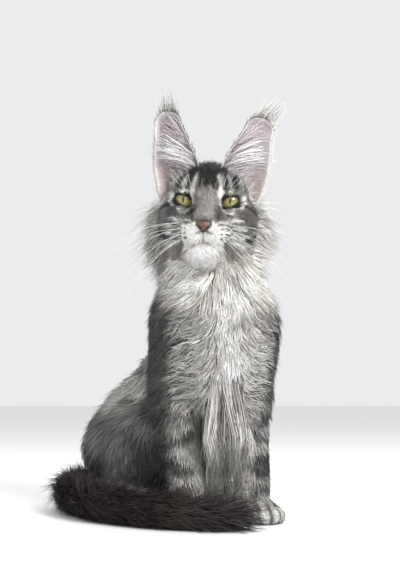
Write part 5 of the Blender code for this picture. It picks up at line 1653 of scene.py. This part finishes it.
def eye_material():
    """Yellow-green iris, darker towards its top with a painted shadow of the upper lid, and a thin upright
    pupil under a wet surface.
    """
    made, tree, inputs = new_material("eye", 0.12, 0.5)
    inputs["Coat Weight"].default_value = 0.6
    inputs["Coat Roughness"].default_value = 0.02
    place = add_node(tree, "ShaderNodeUVMap", {}, "UV", uv_map="iris")
    x, z = [
        math_node(tree, "MULTIPLY", math_node(tree, "SUBTRACT", along, 0.5), IRIS_MAP * 1000)
        for along in [add_node(tree, "ShaderNodeSeparateXYZ", {"Vector": place}, axis) for axis in "XY"]
    ]
    radius = math_node(tree, "SQRT", sum_of_squares(tree, x, z))
    share = math_node(tree, "DIVIDE", radius, IRIS_RING)
    ring = add_node(tree, "ShaderNodeValToRGB", {"Fac": share}, "Color")
    stops = ring.node.color_ramp.elements
    stops.remove(stops[1])
    for position, tone in IRIS_STOPS:
        stop = stops.new(position) if position else stops[0]
        stop.color = (*tone, 1)
    angle = math_node(tree, "ARCTAN2", z, x)
    rays = {"X": math_node(tree, "MULTIPLY", angle, 2.2), "Y": math_node(tree, "MULTIPLY", radius, 0.06)}
    fibre_place = add_node(tree, "ShaderNodeCombineXYZ", rays, "Vector")
    fibre_noise = {"Vector": fibre_place, "Scale": 14.0, "Detail": 4.0}
    fibres = in_range(tree, add_node(tree, "ShaderNodeTexNoise", fibre_noise, "Fac"), 0.72, 1.22)
    # Painted shadow of the upper lid: the iris darkens towards its top
    painted_lid_shadow = in_range(tree, z, 1.1, 0.35, -1.0, 5.0)
    iris = scaled(tree, scaled(tree, ring, fibres), painted_lid_shadow)
    shrunk = [math_node(tree, "DIVIDE", along, half) for along, half in zip((x, z), PUPIL_HALVES)]
    outside = in_range(tree, sum_of_squares(tree, *shrunk), 0.0, 1.0, 0.75, 1.35)
    tree.links.new(mixed(tree, outside, (0.004, 0.004, 0.004, 1), iris), inputs["Base Color"])
    return made


def plain_material(name, colour, roughness, variation=0.12, scale=400.0):
    """One colour with slight variation."""
    made, tree, inputs = new_material(name, roughness)
    light = linear(colour)
    darker, lighter = light * (1 - variation), np.minimum(light * (1 + variation), 1)
    colour = mixed(tree, noise(tree, scale), (*darker, 1), (*lighter, 1))
    tree.links.new(colour, inputs["Base Color"])
    return made


def area_light(name, place, target, size, power, shift):
    lamp = bpy.data.lights.new(name, "AREA")
    lamp.size = size
    lamp.energy = power
    obj = new_object(name, lamp)
    obj.location = Vector(place) + shift
    obj.rotation_euler = (Vector(target) - Vector(place)).to_track_quat("-Z", "Y").to_euler()


def make_stage(shift):
    """A pale floor, soft light from the right and the camera."""
    bm = bmesh.new()
    bmesh.ops.create_grid(bm, x_segments=1, y_segments=1, size=6)
    pale = plain_material("floor", (0.93, 0.93, 0.93), 0.7, 0.02, 3.0)
    new_object("floor", mesh_from(bm, "floor"), pale)
    world = bpy.data.worlds.new("studio")
    world.use_nodes = True
    sky = world.node_tree.nodes["Background"].inputs
    sky["Color"].default_value = (0.90, 0.91, 0.92, 1)
    sky["Strength"].default_value = 0.92
    bpy.context.scene.world = world
    bpy.context.scene.view_settings.view_transform = "Standard"
    area_light("key", (0.75, -0.95, 0.95), (0.0, 0.0, 0.22), 0.40, 21, shift)
    area_light("fill", (-1.1, -0.9, 0.7), (0.0, 0.0, 0.18), 1.0, 3, shift)
    area_light("top", (0.1, 0.5, 1.4), (0.0, 0.0, 0.2), 0.9, 6, shift)
    lens = bpy.data.cameras.new("camera")
    lens.sensor_fit = "VERTICAL"
    lens.sensor_height = SENSOR
    lens.lens = FOCAL_PIXELS * SENSOR / IMAGE_HEIGHT
    camera = new_object("camera", lens)
    camera.location = CAMERA_AT + shift
    camera.rotation_euler = (math.pi / 2 + CAMERA_TILT, 0, 0)
    bpy.context.scene.camera = camera


def frame_shift():
    """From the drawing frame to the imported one, read off the left eye."""
    low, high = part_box("eye_left")
    shift = (low + high) / 2 - head_point(EYE_SPREAD, 0, 0)
    return Vector((shift.x, shift.y, 0))


def place_piece(piece, shift, nodes=()):
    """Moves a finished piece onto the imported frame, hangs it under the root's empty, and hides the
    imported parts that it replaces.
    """
    piece.data.transform(Matrix.Translation(shift))
    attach(piece, "root")
    if nodes:
        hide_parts(*nodes)


def coat_faces(skin, name, regions):
    """The faces that a piece of the coat grows from. None lies in the slit of an eye."""
    first = skin.local[skin.triangles[:, 0]]
    in_slit = (eye_distance(first) < EYE_RADIUS + SLIT_BARE) & skin.faces_in(["head"])
    chosen = skin.faces_in(regions) & ~in_slit
    if name == "coat_face":
        chosen &= first[:, 1] < FACE_BACK
    if name == "coat_head":
        chosen &= first[:, 1] >= FACE_BACK
    return np.nonzero(chosen)[0]


def main():
    shift = frame_shift()
    masses = body_masses()
    regions = region_masses()
    hair = coat_material("hair", 0.55, 700.0)
    skin_fur = coat_material("skin_fur", 0.85, 500.0, 0.6, 0.0006)
    ear_leather = coat_material("ear_leather", 0.65, 450.0, 0.4, 0.0003)
    nose_leather = coat_material("nose_leather", 0.42, 1500.0, 0.5, 0.0002)
    rim_black = plain_material("lid_rim", (0.07, 0.06, 0.06), 0.35)
    whisker_white = plain_material("whisker", (0.95, 0.95, 0.94), 0.35)
    eye = eye_material()
    skin_object = make_skin(masses, regions, skin_fur)
    skin = Skin(skin_object, masses, regions)
    set_markings(skin_object.data, skin.colour * UNDER_SHADE)
    flesh = [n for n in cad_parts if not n.startswith(("ear", "eye", "nose"))]
    place_piece(skin_object, shift, flesh)
    for index, (name, (names, count, stations, slot)) in enumerate(PIECES.items()):
        faces = coat_faces(skin, name, names)
        piece = grow(skin, name, count, stations, faces, 100 + 10 * index, hair)
        place_piece(piece, shift)
    place_piece(apron(skin, hair), shift)
    place_piece(plume(skin, hair), shift)
    place_piece(spot_tufts(skin, hair), shift)
    for side, word in ((1, "left"), (-1, "right")):
        place_piece(make_ear(side, word, ear_leather), shift, [f"ear_{word}"])
        place_piece(ear_tufts(side, word, hair), shift)
        place_piece(make_eye(side, word, eye), shift, [f"eye_{word}"])
    place_piece(make_nose(nose_leather), shift, ["nose"])
    place_piece(make_lid_rims(rim_black), shift)
    place_piece(make_whiskers(skin, whisker_white), shift)
    make_stage(shift)


main()
